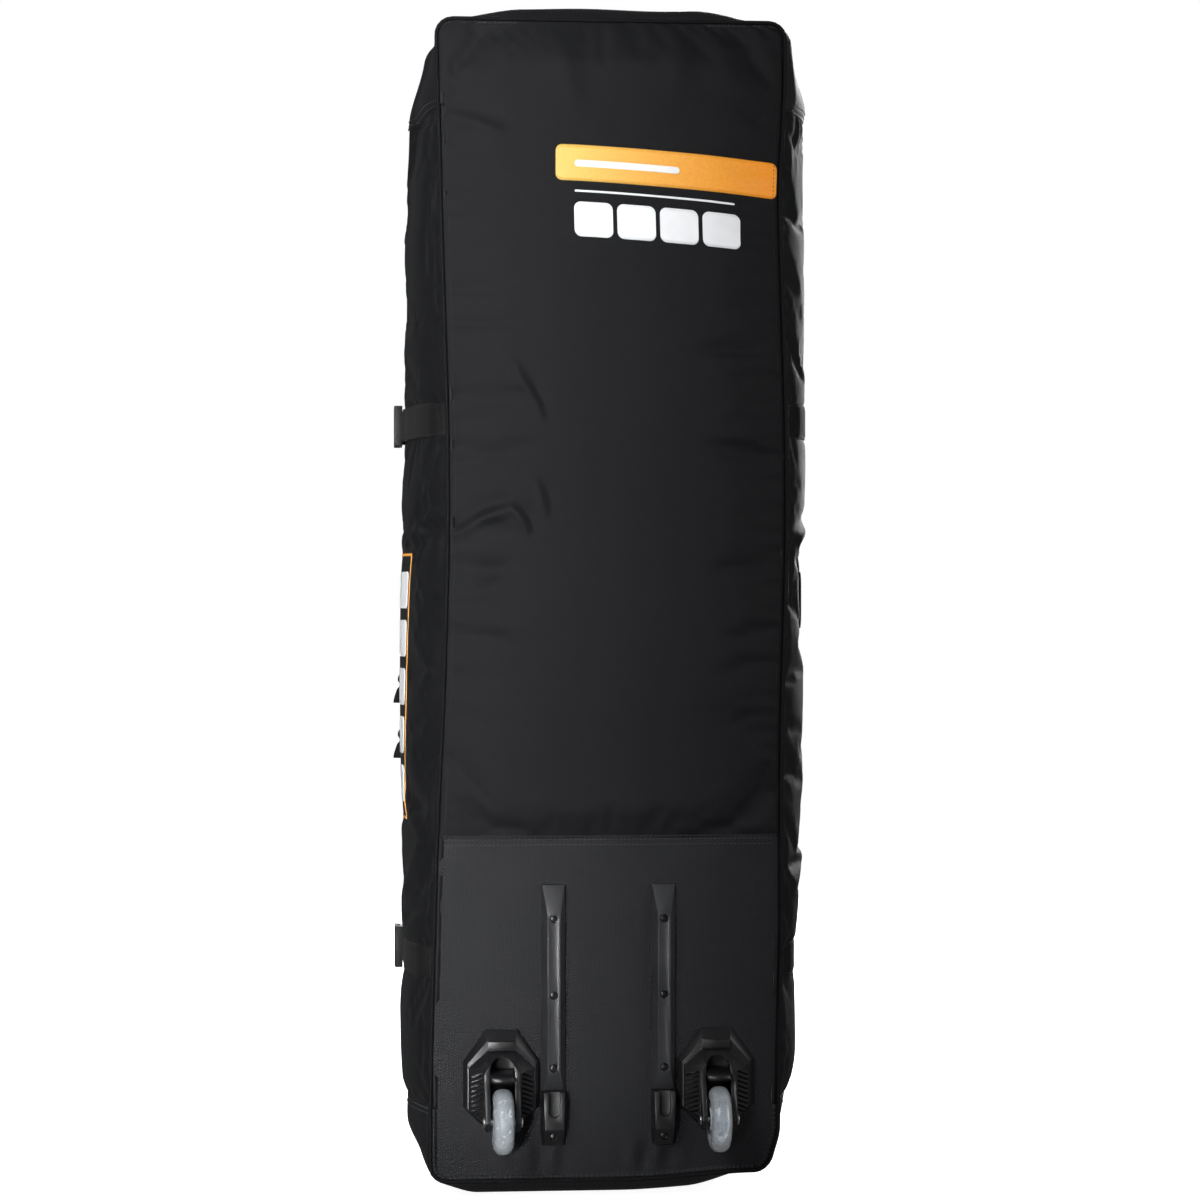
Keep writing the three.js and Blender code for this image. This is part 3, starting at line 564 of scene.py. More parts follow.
# A hump is a middle height, a spread and an amount. A ramp is the height it starts at, the rise over
# which it grows, downwards if that is negative, and an amount.
LEAN_HUMPS = ((0.82, 0.31, 0.0120),)
LEAN_RAMPS = ((1.15, 0.15, 0.0035), (0.35, -0.25, -0.0035))
UPPER_LEAN = ((0.98, 0.20, 0.0065),)
WIDE_RAMPS = ((0.62, -0.35, 0.0050), (1.15, 0.20, 0.0055))
WALL_HUMPS = ((PATCH_HI - 0.004, 0.016, -0.0045), (PATCH_LO + 0.004, 0.014, -0.0025),
              *((height, 0.030, -0.0022) for _, height in STRAPS))
LEFT_HUMPS = ((0.90, 0.10, -0.0060), (0.41, 0.06, -0.0040), (0.66, 0.20, 0.0040), (0.78, 0.035, -0.0018))
LEFT_RAMPS = ((0.93, 0.14, -0.0070), (0.45, -0.10, -0.0062))
LEFT_SHOULDER, SHOULDER_TOP = ((0.97, 0.08, -0.0045), (1.12, 0.06, -0.0035)), 1.290
RIGHT_HUMPS = ((0.76, 0.10, -0.0030),)
RIGHT_RAMPS = ((0.15, 0.10, -0.0040), (0.16, -0.06, -0.0055), (1.24, 0.05, 0.0085))
BACK_RAMPS = ((CROSS_SEAM, 0.25, 0.0065), (1.15, 0.20, -0.003))


def humps(z, rows):
    return sum(amount * hump(z, middle, spread) for middle, spread, amount in rows)


def ramps(z, rows):
    return sum(amount * smooth((z - start) / rise) for start, rise, amount in rows)


def sway(p):
    """The back seams of the stuffed case lean and draw in, and the zip side stays straight."""
    x, y, z = p[..., 0], p[..., 1], p[..., 2]
    back = smooth((0.062 - y) / 0.10)
    rear = smooth((0.02 - y) / 0.13)
    heel = back * smooth((0.085 - z) / 0.06)
    lean = humps(z, LEAN_HUMPS) + ramps(z, LEAN_RAMPS) + ramps(z, UPPER_LEAN) * (1 - rear)
    out = p.copy()
    out[..., 0] += back * lean + rear * ramps(z, WIDE_RAMPS) * np.clip(x / HALF_W, -1, 1)
    out[..., 0] -= 0.010 * heel * smooth((x - 0.10) / 0.10)
    out[..., 2] += 0.008 * heel * smooth((x - 0.02) / 0.16)
    return out


def slack(x, z, end, y):
    """Where the side walls stand out less or more than the plain crown, away from the zip and hinge."""
    free = smooth((0.072 - y) / 0.045) * smooth((y + 0.147) / 0.03)
    left = humps(z, LEFT_HUMPS) + ramps(z, LEFT_RAMPS)
    left = left + ramps(z, LEFT_SHOULDER) * smooth((SHOULDER_TOP - z) / 0.02)
    beside_grip = 0.0045 * smooth((z - 0.26) / 0.12) * (1 - 0.6 * hump(z, MID, 0.09))
    grip_hollow = 0.0100 * hump(z, MID, 0.060) * hump(y, -0.012, 0.035)
    right = humps(z, RIGHT_HUMPS) + ramps(z, RIGHT_RAMPS) + beside_grip - grip_hollow
    return free * (1 - end) * (humps(z, WALL_HUMPS) + left * (x < 0) + right * (x > 0))


def wall(s, y, off=0.0):
    """A place on the outer face of the walls, or off it by a given distance."""
    s, y = np.broadcast_arrays(np.asarray(s, float), np.asarray(y, float))
    x, z, nx, nz, end = outline_at(s)
    size = np.hypot(nx, nz)
    nx, nz = nx / size, nz / size
    out = crown(x, z, end, y) + slack(x, z, end, y) + off
    return sway(at(x + nx * out, y, z + nz * out))


def wall_out(s, y):
    """The direction out of the walls."""
    x, z, nx, nz, end = outline_at(np.broadcast_arrays(s, y)[0])
    step = 0.002
    slope = (crown(x, z, end, y + step) - crown(x, z, end, y - step)) / (2 * step)
    out = at(nx, -slope, nz)
    return out / np.linalg.norm(out, axis=-1, keepdims=True)


def settle(points, pinned, excess, pressure, cap, frames=22, gravity=0.0, stiff=0.6):
    """Lets a panel that was cut a little too large find its own folds between its seams."""
    ni, nj, _ = points.shape
    mesh = bpy.data.meshes.new("settling")
    mesh.from_pydata(points.reshape(-1, 3).tolist(), [], grid_faces(ni, nj))
    obj = bpy.data.objects.new("settling", mesh)
    scene.collection.objects.link(obj)
    group = obj.vertex_groups.new(name="pinned")
    group.add(np.flatnonzero(pinned.ravel() > 0.5).tolist(), 1.0, "REPLACE")
    cloth = obj.modifiers.new("cloth", "CLOTH")
    cloth.point_cache.frame_start, cloth.point_cache.frame_end = 1, frames
    settings = cloth.settings
    settings.quality = 6
    settings.mass = 0.25
    settings.air_damping = 2.0
    settings.tension_stiffness = settings.compression_stiffness = 20
    settings.shear_stiffness = 6
    settings.bending_stiffness = stiff
    settings.vertex_group_mass = "pinned"
    settings.shrink_min = -excess
    settings.use_pressure = pressure != 0
    settings.uniform_pressure_force = pressure
    settings.effector_weights.gravity = gravity
    cloth.collision_settings.use_collision = False
    for step in range(1, frames + 1):
        scene.frame_set(step)
    settled = obj.evaluated_get(bpy.context.evaluated_depsgraph_get()).to_mesh()
    found = np.empty(ni * nj * 3, np.float32)
    settled.vertices.foreach_get("co", found)
    scene.frame_set(1)
    bpy.data.objects.remove(obj)
    bpy.data.meshes.remove(mesh)
    moved = found.reshape(points.shape).astype(float) - points
    size = np.linalg.norm(moved, axis=2, keepdims=True)
    return points + moved * np.minimum(1, cap / np.maximum(size, 1e-9))


def border(ni, nj, rows=1):
    pinned = np.zeros((ni, nj))
    pinned[:rows] = pinned[-rows:] = 1
    pinned[:, :rows] = pinned[:, -rows:] = 1
    return pinned


def fold(a, b, start, stop, width, depth, bend=0.0):
    """How far a fold between two places of a panel moves it, tapered at both ends."""
    (a0, b0), (a1, b1) = start, stop
    da, db = a1 - a0, b1 - b0
    length = math.hypot(da, db)
    along = ((a - a0) * da + (b - b0) * db) / length**2
    beside = (-(a - a0) * db + (b - b0) * da) / length - bend * np.sin(math.pi * np.clip(along, 0, 1))
    taper = np.sin(math.pi * np.clip(along, 0, 1)) ** 0.7 * (along > 0) * (along < 1)
    ridge = np.exp(-((beside / width) ** 2))
    ditch = np.exp(-(((beside - 1.6 * width) / (1.3 * width)) ** 2))
    return depth * taper * (ridge - 0.75 * ditch)


def folded(a, b, folds):
    return sum(fold(a, b, *row) for row in folds)


# Folds as start, stop, width, depth and bend. The back's places are across and up.
BACK_FOLDS = (
    ((-0.196, 0.772), (-0.120, 0.808), 0.0075, 0.0060, 0.004),
    ((-0.128, 0.812), (-0.105, 0.772), 0.0055, 0.0045, 0.004),
    ((-0.108, 0.955), (-0.088, 0.905), 0.0050, 0.0035, 0.003),
    ((-0.125, 0.985), (-0.100, 0.915), 0.0060, 0.0030, 0.004),
    ((-0.100, 0.845), (-0.086, 0.790), 0.0055, 0.0035, 0.003),
    ((-0.192, 1.262), (-0.120, 1.240), 0.0085, 0.0040, 0.003),
    ((-0.185, 0.690), (-0.110, 0.735), 0.0100, 0.0030, 0.004),
    ((-0.06, 1.365), (-0.045, 1.270), 0.0150, 0.0028),
    ((0.080, 1.365), (0.070, 1.285), 0.0140, 0.0028),
    ((0.125, 1.365), (0.135, 1.300), 0.0120, 0.0020),
    ((0.190, 0.905), (0.120, 0.880), 0.0150, 0.0014),
    ((0.192, 0.560), (0.110, 0.600), 0.0160, 0.0014),
)
# The gussets' places are in depth and up.
LEFT_FOLDS = (
    ((-0.145, 0.805), (-0.030, 0.770), 0.0070, 0.0060, 0.006),
    ((-0.140, 0.765), (-0.050, 0.795), 0.0060, 0.0045, -0.004),
    ((-0.100, 0.845), (-0.075, 0.735), 0.0080, 0.0050, 0.006),
    ((-0.125, 0.885), (-0.105, 0.790), 0.0070, 0.0035, 0.003),
    ((-0.120, 0.420), (-0.030, 0.470), 0.0110, 0.0040),
    ((-0.140, 0.330), (-0.040, 0.300), 0.0090, 0.0040, 0.005),
    ((-0.125, 1.240), (-0.110, 1.080), 0.0080, 0.0045, 0.004),
)
RIGHT_FOLDS = (
    ((-0.130, 0.765), (-0.010, 0.790), 0.0080, 0.0050, 0.004),
    ((-0.120, 0.360), (-0.020, 0.400), 0.0100, 0.0040),
)


def back_half_width(z):
    top = np.clip(z - (SEAM_HI - R_TOP), 0, R_TOP)
    low = np.clip(SEAM_LO + R_BOT - z, 0, R_BOT)
    return HALF_W - R_TOP + np.sqrt(R_TOP**2 - top**2) - R_BOT + np.sqrt(R_BOT**2 - low**2)


def off_ends(z):
    """1 on a panel, falling to 0 at its top and bottom seams."""
    return smooth((SEAM_HI - z) / 0.05) * smooth((z - SEAM_LO) / 0.05)


def back_y(u, z):
    """The back's depth: flat behind the rails, softly stuffed above them."""
    soft = 0.0032 + ramps(z, BACK_RAMPS)
    return BACK + 0.0030 - soft * (1 - np.abs(u) ** 2.6) * off_ends(z)


PANELS = {}


def panel(name, node, points, uv, outward, key, finish="polyester", fill=0.4, **form):
    """A padded panel in a node's place. Its mesh is kept, for prints and stitches to be laid on."""
    made = thick_grid(name, points, uv, [finish, "lining"], SKIN, outward, **form)
    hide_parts(node)
    verts = [tuple(v.co) for v in made.data.vertices]
    faces = [tuple(p.vertices) for p in made.data.polygons if p.material_index == 0]
    PANELS[key] = (verts, faces)


def wall_grid(s, y):
    """Every pair of a place along the seam outline and a depth."""
    return np.meshgrid(s, y, indexing="ij")


def surface_of(*names):
    verts, faces = [], []
    for name in names:
        v, f = PANELS[name]
        faces += [tuple(i + len(verts) for i in face) for face in f]
        verts += v
    return BVHTree.FromPolygons(verts, faces)


def land(points, outs, surface, lift, reach=0.03):
    """Moves points along their directions onto a surface, and a lift above it."""
    points = np.asarray(points, float)
    outs = np.broadcast_to(np.asarray(outs, float), points.shape)
    landed = points.copy().reshape(-1, 3)
    flat = outs.reshape(-1, 3)
    for i, (p, n) in enumerate(zip(points.reshape(-1, 3), flat)):
        n = Vector(n).normalized()
        hit = surface.ray_cast(Vector(p) + n * reach, -n, 2 * reach)
        if hit[0] is not None:
            landed[i] = hit[0] + n * lift
        else:
            landed[i] = Vector(p) + n * lift
    return landed.reshape(points.shape)


# ------------------------------------------------------------------ the panels
def back_panels():
    z = np.linspace(CROSS_SEAM - 0.001, SEAM_HI, 95)[:, None]
    u = np.linspace(-1, 1, 41)[None, :]
    x = back_half_width(z) * u
    points = at(x, back_y(u, z), z)
    points = settle(sway(points), border(*points.shape[:2]), 0.012, -1.5, 0.010)
    uv = at(x, z)
    points, uv = resample(points, 3), resample(uv, 3)
    a, b = uv[..., 0], uv[..., 1]
    inside = smooth((HALF_W - np.abs(a)) / 0.006) * smooth((b - CROSS_SEAM) / 0.01)
    inside = inside * smooth((SEAM_HI - b) / 0.01)
    points[..., 1] -= folded(a, b, BACK_FOLDS) * inside
    panel("back_cloth", "back_panel", points, uv, (0, -1, 0), "back")

    z = np.linspace(SEAM_LO, CROSS_SEAM - 0.001, 101)[:, None]
    u = np.linspace(-1, 1, 101)[None, :]
    x = back_half_width(z) * u
    ripple = 0.0011 * np.sin(x * 41 + 1.3) * np.sin(z * 17 + 0.4) * smooth((z - 0.38) / 0.05)
    gathered = hump(x, -0.07, 0.03) + hump(x, 0.05, 0.035)
    pucker = 0.0030 * hump(z, 0.050, 0.014) * gathered * np.cos(x * 210)
    points = sway(at(x, back_y(u, z) - ripple - pucker, z))
    panel("lower_back_cloth", "lower_back_panel", points, at(x, z), (0, -1, 0), "lower_back", "tarpaulin")


def depth_length(s, y):
    """Distance round the swelling wall, for the weave."""
    points = wall(s[:, :1], y)
    steps = np.linalg.norm(np.diff(points, axis=1), axis=2)
    return np.concatenate([np.zeros((len(points), 1)), np.cumsum(steps, axis=1)], axis=1)


def gusset(name, side, node):
    edge = BODY_EDGE if side < 0 else HINGE_EDGE
    lo, hi = side_s(side, PATCH_LO), side_s(side, PATCH_HI)
    s, y = wall_grid(np.linspace(lo, hi, 118), np.linspace(-WALL_EDGE, edge, 27))
    points = wall(s, y)
    pinned = border(*s.shape)
    z = points[..., 2]
    for _, height in STRAPS:
        pinned[(np.abs(z - height) < 0.016) & (y < 0.07)] = 1
    pinned[y > 0.062] = 1
    if side < 0:
        (y0, z0), (_, z1) = SIDE_PRINT
        pinned[(z > z0 - 0.008) & (z < z1 + 0.009) & (y > y0 - 0.008)] = 1
    else:
        pinned[(np.abs(z - MID) < 0.055) & (np.abs(y + 0.008) < 0.036)] = 1
    points = settle(points, pinned, 0.014, 1.5 if side < 0 else -1.5, 0.011, gravity=0.15)
    uv = at(z, depth_length(s, y))
    points, uv = resample(points, 3), resample(uv, 3)
    z, depth = uv[..., 0], resample(y[..., None], 3)[..., 0]
    free = smooth((0.060 - depth) / 0.03) * smooth((depth + WALL_EDGE) / 0.010)
    wander = depth * 245 + 2.1 * np.sin(depth * 31 + side) + 1.3 * np.sin(z * 38)
    pleat = 0.0017 * smooth((z - 1.195) / 0.075) * np.sin(wander) * smooth((PATCH_HI - z) / 0.006)
    pleat = pleat * (0.55 + 0.45 * np.sin(depth * 58 + 1.0))
    rise = pleat + folded(depth, z, LEFT_FOLDS if side < 0 else RIGHT_FOLDS)
    normal = grid_normals(points)
    if np.sum(normal * (side, 0, 0)) < 0:
        normal = -normal
    points = points + normal * (rise * free)[..., None]
    panel(name, node, points, uv, (side, 0, 0), "left" if side < 0 else "right", fill=0.5)


def patch(name, node, s0, s1, outward, edge=BODY_EDGE, proud=0.0007):
    """A panel of coated cloth round a corner or over an end."""
    count = max(12, int(abs(s1 - s0) / 0.004))
    s, y = wall_grid(np.linspace(s0, s1, count), np.linspace(-WALL_EDGE, edge, 56))
    z = wall(s, y, proud)[..., 2]
    wave = 0.0012 * np.sin(s * 37 + y * 21) * np.sin(y * 33 + 0.7)
    held = smooth((0.060 - y) / 0.04) * smooth((y + 0.147) / 0.03)
    base = smooth((z - 0.02) / 0.03)
    points = wall(s, y, proud + wave * held * base)
    panel(name, node, points, at(s, depth_length(s, y)), outward, node, "tarpaulin")


def patches():
    left_hi, right_hi = side_s(-1, PATCH_HI), side_s(1, PATCH_HI)
    left_lo, right_lo = side_s(-1, PATCH_LO), side_s(1, PATCH_LO)
    patch("top_left_patch", "top_left_corner_panel", left_hi, TOP_LEFT, (-1, 0, 1))
    patch("top_right_patch", "top_right_corner_panel", TOP_RIGHT, right_hi, (1, 0, 1), HINGE_EDGE)
    patch("bottom_left_patch", "bottom_left_corner_panel", LEFT_FOOT, left_lo, (-1, 0, -1))
    patch("bottom_right_patch", "bottom_right_corner_panel", right_lo, RIGHT_FOOT, (1, 0, -1), HINGE_EDGE)
    patch("top_end_cloth", "top_end_panel", TOP_LEFT, TOP_RIGHT, (0, 0, 1))
    patch("bottom_end_cloth", "bottom_end_panel", RIGHT_FOOT, TOTAL + LEFT_FOOT, (0, 0, -1))


def lid_cloths():
    z = np.linspace(SEAM_LO, SEAM_HI, 135)[:, None]
    u = np.linspace(-1, 1, 41)[None, :]
    x = back_half_width(z) * u
    y = FRONT - 0.0030 + 0.0060 * (1 - np.abs(u) ** 2.6) * off_ends(z)
    points = at(x, y, z)
    pinned = border(*points.shape[:2])
    for _, height in STRAPS:
        pinned[(np.abs(points[..., 2] - height) < 0.016)] = 1
    points[..., 1] -= 0.004 * sum(hump(z, height, 0.03) for _, height in STRAPS) * off_ends(z)
    points = settle(points, pinned, 0.010, 1.5, 0.006)
    uv = at(x, z)
    points, uv = resample(points, 2), resample(uv, 2)
    panel("lid_cloth", "lid_panel", points, uv, (0, 1, 0), "lid", body="lid")

    s, y = wall_grid(np.linspace(0, TOTAL, 700, endpoint=False), np.linspace(LID_EDGE, WALL_EDGE, 14))
    points = wall(s, y, 0.0009 * np.sin(s * 46) * np.sin((y - LID_EDGE) * 60))
    panel("lid_lip_cloth", "lid_lip", points, at(s, y), wall_out(s, y), "lip", body="lid", wrap=True)


# ------------------------------------------------------------------ seams, piping and stitches
def outline_points(y, off, s0=0.0, s1=None, step=0.006):
    s1 = TOTAL if s1 is None else s1
    s = np.linspace(s0, s1, max(3, int(abs(s1 - s0) / step)))
    return s, wall(s, np.full_like(s, y), off), wall_out(s, np.full_like(s, y))


def cord(name, path, along, radius, sides, girth, finish, body="case_body", **form):
    """A cord or a turned edge along a seam. along and girth are its cloth measures."""
    verts, faces = tube(path, radius, sides, **form)
    uv = at(np.repeat(along, sides), np.tile(np.linspace(0, girth, sides), len(along)))
    add(name, verts, faces, finish, body, uv)


def piping(name, y, off, radius, body):
    s, points, _ = outline_points(y, off)
    cord(name, points[:-1], s[:-1], radius, 10, 0.014, "zip_tape", body, closed=True)


def run_stitches(bundle, points, outs, pitch=0.0048, length=0.0034, radius=0.00045):
    """One row of thread stitches along a path that lies on the cloth."""
    points, outs = np.asarray(points), np.asarray(outs)
    steps = np.linalg.norm(np.diff(points, axis=0), axis=1)
    far = np.concatenate([[0], np.cumsum(steps)])
    count = int(far[-1] / pitch)
    for k in range(count):
        middle = (k + 0.5) * pitch
        ends = []
        for where in np.array([-0.5, -0.32, 0.32, 0.5]) * length + middle:
            ends.append([np.interp(where, far, points[:, c]) for c in range(3)])
        out = np.array([np.interp(middle, far, outs[:, c]) for c in range(3)])
        ends = np.array(ends)
        ends += out * (np.array([-0.6, 0.35, 0.35, -0.6]) * radius)[:, None]
        verts, faces = tube(ends, np.array([0.45, 1, 1, 0.45]) * radius, 5, up=out)
        bundle.take(verts, faces)


def seams():
    """The piped seams round the back and round the lid."""
    piping("back_piping", -PIPING_EDGE, 0.0012, 0.0023, "case_body")
    piping("lid_piping", PIPING_EDGE, 0.0010, 0.0022, "lid")


def sew_back(bundle, back, x, z, lift):
    """A row of stitches on the back."""
    row = sway(at(x, BACK, z))
    run_stitches(bundle, land(row, (0, -1, 0), back, lift), np.tile((0, -1.0, 0), (len(row), 1)))


def stitching():
    """Double rows along the coated cloth's edges, and single rows beside the back's piping."""
    back = surface_of("back", "lower_back")
    dark, bright = Bundle(), Bundle()
    for z in (CROSS_SEAM - 0.0045, CROSS_SEAM - 0.0105):
        sew_back(bright, back, np.linspace(-0.193, 0.193, 80), z, 0.0002)
    for side, name in ((-1, "left"), (1, "right")):
        around = surface_of(name, f"top_{name}_corner_panel", f"bottom_{name}_corner_panel")
        y = np.linspace(-0.144, 0.070, 60)
        for z in (PATCH_HI + 0.0035, PATCH_HI + 0.0090, PATCH_LO - 0.0035, PATCH_LO - 0.0090):
            s = np.full_like(y, side_s(side, z))
            outs = wall_out(s, y)
            run_stitches(bright, land(wall(s, y), outs, around, 0.0002), outs)
        s, points, outs = outline_points(-0.1405, 0, side_s(side, 0.10), side_s(side, 1.29), 0.012)
        run_stitches(dark, land(points, outs, around, 0.0001), outs)
    for side in (-1, 1):
        sew_back(dark, back, side * (HALF_W - 0.0075), np.linspace(CROSS_SEAM, 1.32, 150), 0.0001)
    dark.piece("dark_stitches", "thread")
    bright.piece("coated_cloth_stitches", "tarp_thread")


def seam_hems():
    """The turned edge of the coated cloth, which stands a little above what it is sewn over."""
    back = surface_of("back", "lower_back")
    x = np.linspace(-HALF_W + 0.001, HALF_W - 0.001, 90)
    row = sway(at(x, BACK, CROSS_SEAM - 0.0008))
    row = land(row, (0, -1, 0), back, 0.0)
    cord("cross_seam_hem", row, x, 0.0016, 8, 0.01, "tarpaulin", squash=0.6, up=(0, -1, 0))
    for side, name in ((-1, "left"), (1, "right")):
        edge = 0.0715 if side < 0 else 0.0965
        y = np.linspace(-0.1465, edge, 70)
        for label, z in (("top", PATCH_HI + 0.0002), ("bottom", PATCH_LO - 0.0002)):
            s = np.full_like(y, side_s(side, z))
            outs = wall_out(s, y)
            around = surface_of(name, f"{label}_{name}_corner_panel")
            row = land(wall(s, y), outs, around, 0.0001)
            cord(f"{label}_{name}_hem", row, y, 0.0015, 8, 0.01, "tarpaulin", squash=0.6, up=outs)


# ------------------------------------------------------------------ prints
def rounded_block(low, high, radius, step=0.004):
    """A grid of places in a rectangle with round corners, as rows of (u, v)."""
    (u0, v0), (u1, v1) = low, high
    nu, nv = max(2, int((u1 - u0 - 2 * radius) / step)), max(5, int((v1 - v0) / step))
    end = radius * (1 - np.cos(np.linspace(0, math.pi / 2, 9)))
    middle = np.linspace(u0 + radius, u1 - radius, nu + 2)[1:-1]
    u = np.concatenate([u0 + end, middle, (u1 - end)[::-1]])[:, None]
    near = np.minimum(u - u0, u1 - u)
    cut = radius - np.sqrt(np.clip(radius**2 - np.clip(radius - near, 0, radius) ** 2, 0, None))
    v = (v0 + cut) + (v1 - v0 - 2 * cut) * np.linspace(0, 1, nv)[None, :]
    return np.broadcast_arrays(u, v)


def film(name, places, outs, surface, uv, finish, lift=0.0005, body="case_body"):
    """A thin print laid on a surface."""
    points = land(places, outs, surface, lift)
    outs = np.broadcast_to(np.asarray(outs, float), points.shape)
    flip = float(np.sum(grid_normals(points) * outs)) < 0
    return shell(name, points, points - outs * (lift + 0.0004), uv, [finish], flip, body)


def band_drop(u):
    """The printed band bends down towards the right seam."""
    return -0.0185 * np.clip((u + 0.064) / 0.259, 0, 1) ** 1.35


def prints():
    """Plain shapes: a band, bars and blocks on the back, and blocks in an outline on the left."""
    back = surface_of("back")

    def on_back(name, low, high, radius, finish, lift=0.0005):
        u, v = rounded_block(low, high, radius)
        places = sway(at(u, BACK, v + band_drop(u)))
        film(name, places, (0, -1, 0), back, at(u, v), finish, lift)

    on_back("orange_band", (-0.066, 1.1880), (0.1945, 1.2300), 0.0075, "print_orange")
    on_back("band_bar", (-0.044, 1.2045), (0.078, 1.2125), 0.0036, "print_white", 0.0008)
    on_back("thin_bar", (-0.044, 1.1752), (0.144, 1.1776), 0.0011, "print_white", 0.0005)
    for i in range(4):
        start = -0.0450 + i * 0.0500
        on_back(f"white_block_{i + 1}", (start, 1.1235), (start + 0.0450, 1.1640), 0.0080, "print_white")

    left = surface_of("left")

    def on_left(name, low, high, radius, finish, lift=0.0005):
        v, u = rounded_block((low[1], low[0]), (high[1], high[0]), radius, 0.0035)
        s = side_s(-1, v)
        film(name, wall(s, u), wall_out(s, u), left, at(u, v), finish, lift)

    (y0, z0), (y1, z1) = SIDE_PRINT
    line = 0.0032
    on_left("outline_front", (y1 - line, z0), (y1, z1), 0.0012, "print_outline")
    on_left("outline_back", (y0, z0), (y0 + line, z1), 0.0012, "print_outline")
    on_left("outline_top", (y0, z1 - line), (y1, z1), 0.0012, "print_outline", 0.0006)
    on_left("outline_bottom", (y0, z0), (y1, z0 + line), 0.0012, "print_outline", 0.0006)
    for i in range(5):
        low = z0 + 0.020 + i * 0.058
        on_left(f"side_block_{i + 1}", (y0 + 0.011, low), (y1 - 0.014, low + 0.044), 0.007, "print_white")


# ------------------------------------------------------------------ webbing
def webbing(name, path, outs, width_dir, width, thick, body="case_body", finish="webbing", lane=9):
    """A flat strap along a path. outs point out of its face, width_dir across it."""
    path, outs = np.asarray(path, float), np.asarray(outs, float)
    outs = np.broadcast_to(outs, path.shape)
    across = np.broadcast_to(np.asarray(width_dir, float), path.shape)
    t = np.linspace(-1, 1, lane)
    half = np.broadcast_to(width, len(path)) / 2
    round_off = thick * 0.5 * np.clip((np.abs(t) - 0.86) / 0.14, 0, 1) ** 2
    flat = path[:, None] + across[:, None] * (half[:, None] * t)[..., None]
    top = flat + outs[:, None] * (thick - round_off)[None, :, None]
    low = flat + outs[:, None] * round_off[None, :, None]
    ring = np.concatenate([top, low[:, ::-1]], axis=1)
    n, m, _ = ring.shape
    faces = ring_faces(n, m)
    check = np.cross(ring[1, 0] - ring[0, 0], ring[0, 1] - ring[0, 0])
    if np.dot(check, outs[0]) > 0:
        faces = [face[::-1] for face in faces]
    far = np.concatenate([[0], np.cumsum(np.linalg.norm(np.diff(path, axis=0), axis=1))])
    cross = np.concatenate([half[:, None] * t, half[:, None] * t[::-1]], axis=1)
    uv = at(np.repeat(far[:, None], m, 1), cross).reshape(-1, 2)
    return add(name, ring.reshape(-1, 3), faces, finish, body, uv)


def stitched_box(bundle, place, low, high):
    """A box of stitches with a cross in it. place turns two measures into a point and a direction."""
    (a0, b0), (a1, b1) = low, high
    corners = [(a0, b0), (a1, b0), (a1, b1), (a0, b1), (a0, b0)]
    for start, stop in [*zip(corners, corners[1:]), ((a0, b0), (a1, b1)), ((a0, b1), (a1, b0))]:
        t = np.linspace(0, 1, 9)
        a, b = start[0] + (stop[0] - start[0]) * t, start[1] + (stop[1] - start[1]) * t
        points, outs = place(a, b)
        run_stitches(bundle, points, outs, 0.0036, 0.0027, 0.0004)


def strap_rise(y):
    """How far a strap stands off the wall: sewn down at the back seam, then loose."""
    return 0.0004 + 0.0030 * smooth((y + 0.108) / 0.014)


def wall_strap(side, z, front, steps):
    """The path of a strap from the back seam across a side wall, and its outward directions."""
    surface = surface_of("left" if side < 0 else "right")
    y = np.linspace(-0.1455, front, steps)
    s = np.full_like(y, side_s(side, z))
    outs = wall_out(s, y)
    return land(wall(s, y), outs, surface, 0.0) + outs * strap_rise(y)[:, None], outs


def strap_box(thread, side, z):
    """The stitched box that holds a strap near the back seam."""
    surface = surface_of("left" if side < 0 else "right")

    def place(a, b):
        s = side_s(side, z + b)
        outs = wall_out(s, a)
        return land(wall(s, a), outs, surface, 0.0024), outs

    stitched_box(thread, place, (-0.141, -0.016), (-0.112, 0.016))


